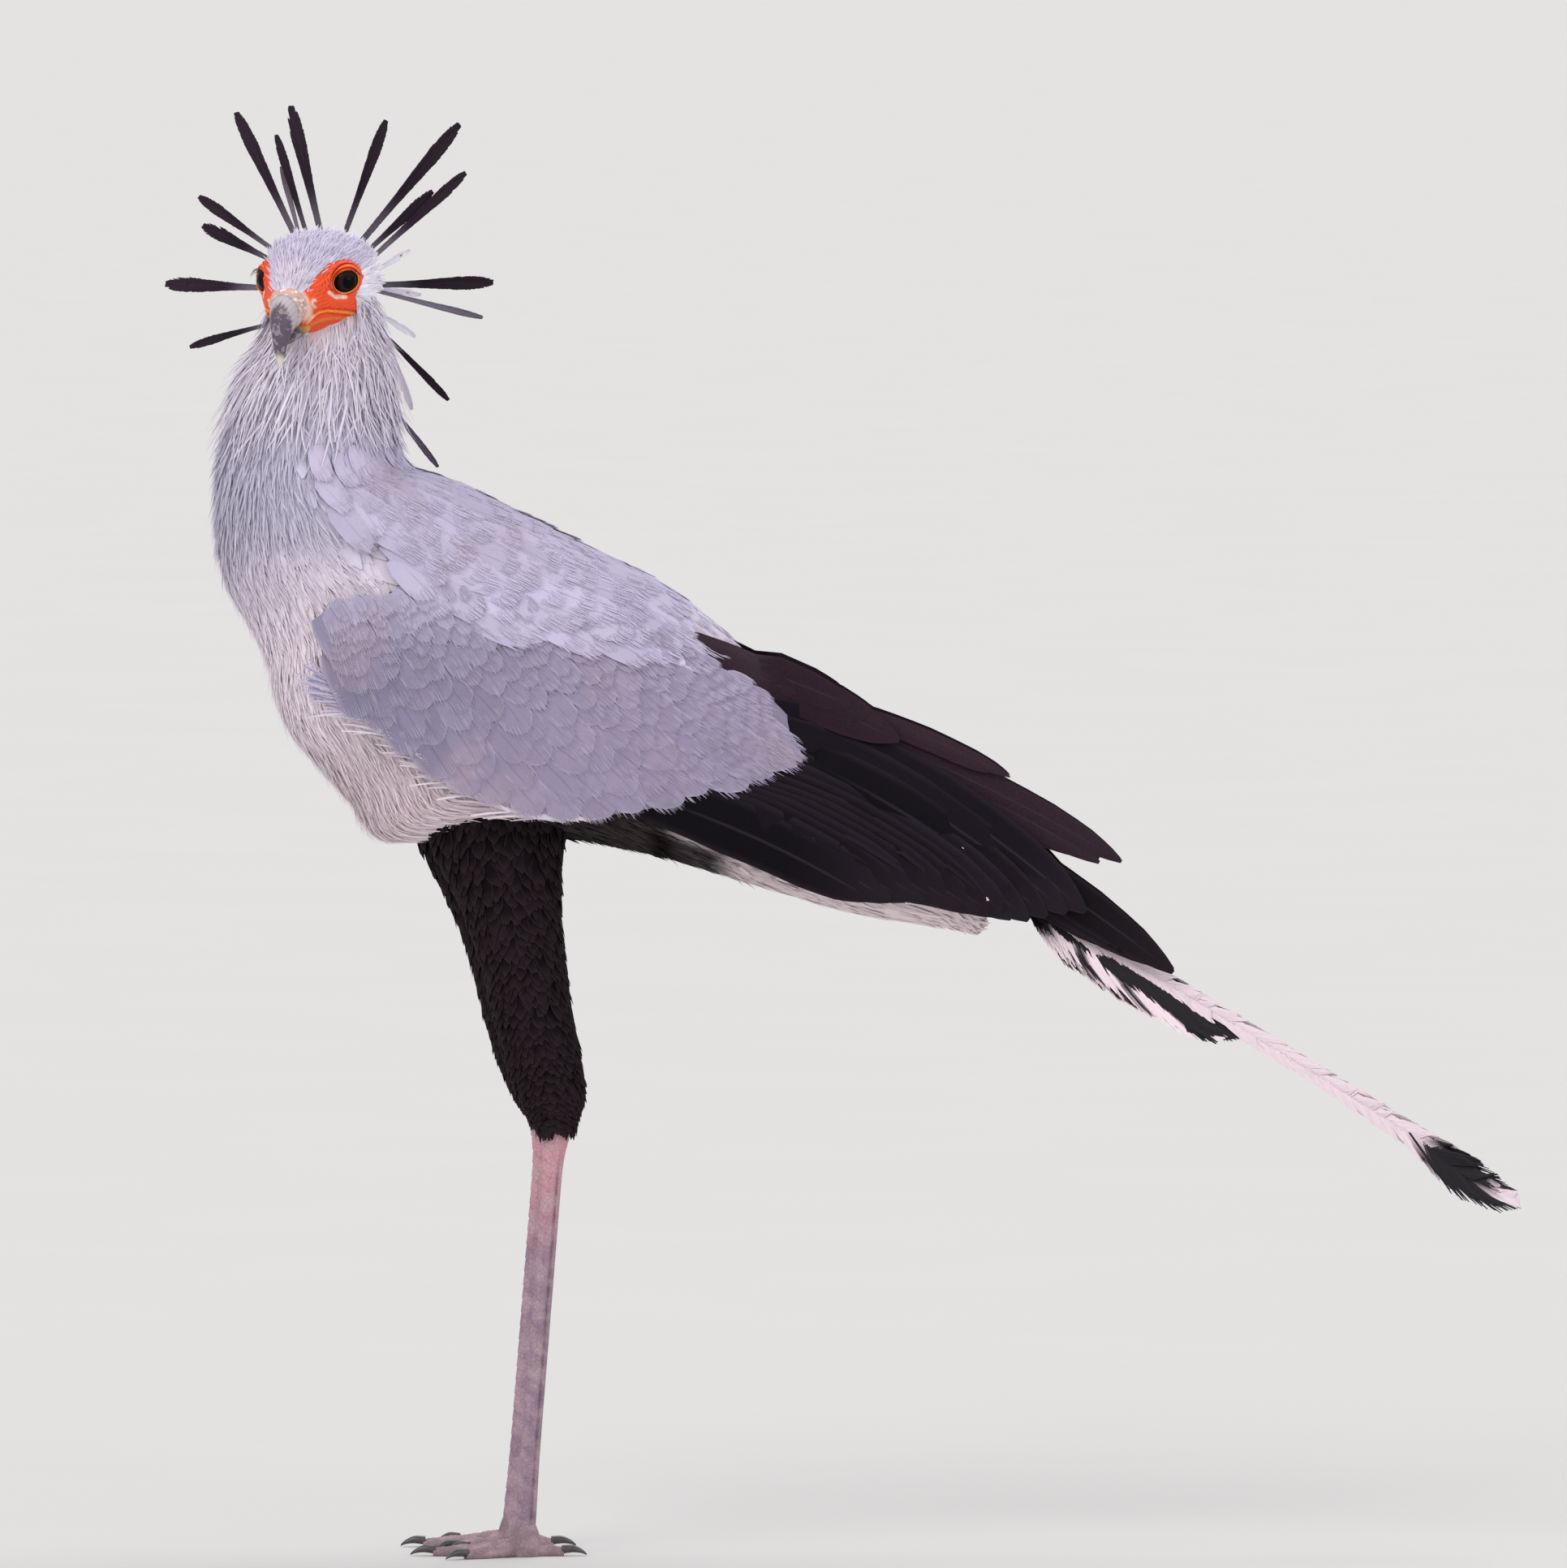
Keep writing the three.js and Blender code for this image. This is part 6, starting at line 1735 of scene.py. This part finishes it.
def shank_piece(side, word):
    """The shank: a round of radius waist, swelling at heel and foot, with scutes stepped on its front
    and a groove each side of the tendon behind."""
    rows = SHANK["scutes"] * 8
    t, a = np.meshgrid(np.linspace(0, 1, rows + 1), np.arange(56) * 2 * math.pi / 56, indexing="ij")
    swell = (SHANK["heel"] - SHANK["waist"]) * np.exp(-((t / 0.07) ** 2))
    swell = swell + (SHANK["foot"] - SHANK["waist"]) * np.exp(-(((1 - t) / 0.12) ** 2))
    step = (t * SHANK["scutes"] + 0.25 * np.cos(2 * a)) % 1
    front = np.sqrt(np.maximum(np.cos(a), 0))
    scute = 0.9 * front * (0.25 + 0.75 * step**0.6) * soft_step(1.0, 0.9, step)
    groove_at = (np.exp(-(((np.abs(np.sin(a)) - 0.78) / 0.14) ** 2)) * (np.cos(a) < 0.35)
                 * soft_step(0.05, 0.16, t))
    wrinkle = 0.35 * np.sin(t * 520 + 2 * np.sin(a * 3)) * soft_step(0.10, 0.02, t)
    r = SHANK["waist"] + swell - 0.25 + scute - 1.2 * groove_at + wrinkle
    x = SHANK_X["top"] + (SHANK_X["foot"] - SHANK_X["top"]) * t - r * np.cos(a) + (0 if side > 0 else -LEAD)
    y = -side * LEG_SPACING / 2 + r * SHANK["width"] * np.sin(a)
    z = SHANK["top"] + 6 * (1 - t) + (SHANK["low"] - SHANK["top"] - 2) * t
    points = np.stack([x, y, z], -1).reshape(-1, 3)
    tints = blend(soft_step(0.42, 0.05, t), np.broadcast_to(LEG_GREY, x.shape + (3,)), LEG_PINK)
    seam = soft_step(0.16, 0.0, step) * front * 0.45
    # painted shade: the grooves beside the tendon are darkened; the seams between scutes are dark joint lines
    tints = blend(np.clip(0.75 * groove_at + seam, 0, 1), tints, LEG_DARK)
    faces = quads(rows + 1, 56, closed=True)[:, ::-1]
    return piece(f"shank_skin_{word}", points, faces, scales.material, (f"shank_{word}",),
                 values={"tint": tints.reshape(-1, 3)})


for word, side in SIDES:
    shank_piece(side, word)

# %% Feet and claws
CLAW_ROWS, CLAW_TURN = 24, 20
TOES = [("middle", 0, 70, 8.0), ("inner", 31, 52, 7.5), ("outer", -31, 52, 7.5), ("hind", 180, 30, 6.0)]
claw_look = Finish("claw", Roughness=0.35, Coat_Weight=0.2)
claw_grain = claw_look.noise(300.0, 3.0)
claw_look.finish(claw_look.mix(claw_grain, (0.02, 0.016, 0.018), (0.09, 0.075, 0.08)), height=claw_grain,
                 depth=0.0003)


def toe_axes(heading, side):
    """A toe's direction ahead and across on the floor."""
    angle = math.radians(heading * side)
    along = np.array([-math.cos(angle), math.sin(angle), 0.0])
    return along, np.array([-along[1], along[0], 0.0])


def foot_piece(side, word):
    """Ankle and four toes as overlapping closed tubes, flat below, with plates across the toes' tops."""
    centre = np.array([-2 + (0 if side > 0 else -LEAD), -side * LEG_SPACING / 2, 0.0])
    parts = []
    for name, heading, length, half in TOES:
        along, across = toe_axes(heading, side)

        def toe(s, angle, lift=0.0):
            t = s
            end = np.sqrt(np.maximum(1 - (0.93 * t) ** 6, 0))
            pad = 1 + 0.06 * np.cos(2 * math.pi * 3 * t)
            plate = 0.5 * ((t * length / 4.2) % 1) * (np.sin(np.radians(angle)) > 0.2)
            width = half * (1.05 + (0.72 - 1.05) * t) * end * pad
            height = (17.5 + (9 - 17.5) * np.minimum(1, 2.2 * t)) * end * pad
            c, d = np.cos(np.radians(angle)), np.sin(np.radians(angle))
            p = centre + (length * t)[..., None] * along + (width * c)[..., None] * across
            z = height * 0.42 + (height * 0.58 + plate - 0.3) * d
            p[..., 2] = np.maximum(z, 0.0)
            return p

        parts.append(tube(toe, np.linspace(0, 1, 60), 28, 0.0))

    def ankle(s, angle, lift=0.0):
        z, a, b = np.moveaxis(spline([[0, 12, 11], [9, 13, 12], [17, 11, 9.5], [24, 8.4, 7.1]], s), -1, 0)
        c, d = np.cos(np.radians(angle)), np.sin(np.radians(angle))
        return np.stack([centre[0] + a * c, centre[1] + b * d, np.maximum(z, 0)], -1)

    parts.append(tube(ankle, np.linspace(0, 3, 16), 36, 0.0))
    points, faces = joined(parts)
    tints = np.broadcast_to(linear(0.52, 0.44, 0.47), points.shape)
    piece(f"foot_skin_{word}", points, faces, scales.material, (f"foot_{word}",),
          values={"tint": tints})
    for name, heading, length, half in TOES:
        along, across = toe_axes(heading, side)
        path = spline([[0, 5], [0.45, 5.6], [0.8, 3.8], [1, 1.4]], np.linspace(0, 3, CLAW_ROWS))
        radius = spline([[3.4], [2.9], [1.7], [0.7]], np.linspace(0, 3, CLAW_ROWS))[:, 0]
        a = np.arange(CLAW_TURN) * 2 * math.pi / CLAW_TURN
        core = centre + along * (length + 0.3 - 2.0 + path[:, :1] * 19)
        core[:, 2] = path[:, 1]
        spokes = np.cos(a)[:, None] * across + np.sin(a)[:, None] * np.array([0, 0, 1.0])
        rings = core[:, None] + radius[:, None, None] * spokes
        points = np.concatenate([rings.reshape(-1, 3), rings[0].mean(0)[None], rings[-1].mean(0)[None]])
        faces = [quads(CLAW_ROWS, CLAW_TURN, closed=True), *pole_caps(CLAW_ROWS, CLAW_TURN)]
        piece(f"claw_horn_{name}_{word}", points, faces, claw_look.material,
              (f"claw_{name}_{word}",))


for word, side in SIDES:
    foot_piece(side, word)

# %% [markdown]
# ## Floor, light and camera
# A pale floor that reaches far, three broad soft lights, and a long lens almost level with the bird,
# placed as the photograph was taken.

# %% Stage
stage_look = Finish("floor", Roughness=0.9)
stage_look.finish(stage_look.mix(stage_look.noise(3.0), (0.58, 0.575, 0.57), (0.60, 0.595, 0.59)))
FLOOR_REACH = 400.0
corners = [(-FLOOR_REACH, -FLOOR_REACH, 0), (FLOOR_REACH, -FLOOR_REACH, 0),
           (FLOOR_REACH, FLOOR_REACH, 0), (-FLOOR_REACH, FLOOR_REACH, 0)]
stage_mesh = bpy.data.meshes.new("floor")
stage_mesh.from_pydata(corners, [], [(0, 1, 2, 3)])
stage_mesh.materials.append(stage_look.material)
floor = bpy.data.objects.new("floor", stage_mesh)
bpy.context.scene.collection.objects.link(floor)


def soft_light(name, place, strength, colour):
    """A broad distant light that shines from a place towards the middle of the bird."""
    lamp = bpy.data.lights.new(name, "SUN")
    lamp.angle = math.radians(40)
    lamp.energy = strength
    lamp.color = colour
    thing = bpy.data.objects.new(name, lamp)
    thing.location = place
    aim = np.array([0.0, 0.0, 0.6]) - np.array(place)
    thing.rotation_euler = Vector(aim).to_track_quat("-Z", "Y").to_euler()
    bpy.context.scene.collection.objects.link(thing)


soft_light("key", (-2.0, -2.6, 3.4), 1.25, (1.0, 0.98, 0.96))
soft_light("fill", (2.8, -2.8, 1.6), 0.55, (0.95, 0.97, 1.0))
soft_light("rim", (0.8, 1.2, 3.4), 1.0, (1.0, 1.0, 1.0))
world = bpy.data.worlds.new("studio")
world.use_nodes = True
world.node_tree.nodes["Background"].inputs[0].default_value = (1.0, 0.99, 1.0, 1.0)
world.node_tree.nodes["Background"].inputs[1].default_value = 0.7
bpy.context.scene.world = world
bpy.context.scene.view_settings.view_transform = "Standard"

camera_data = bpy.data.cameras.new("camera")
camera_data.lens = 400
camera_data.sensor_width = 36
camera_data.sensor_fit = "HORIZONTAL"
camera = bpy.data.objects.new("camera", camera_data)
distance = 1.1972 * 400 / 36
elevation = math.radians(3)
target = to_metres(np.array([195.6, 0.0, 588.4]))
camera.location = target + distance * np.array([0, -math.cos(elevation), math.sin(elevation)])
camera.rotation_euler = (math.pi / 2 - elevation, 0, 0)
camera_data.clip_end = 1000
bpy.context.scene.collection.objects.link(camera)
bpy.context.scene.camera = camera
print("camera at", [round(c, 3) for c in camera.location])
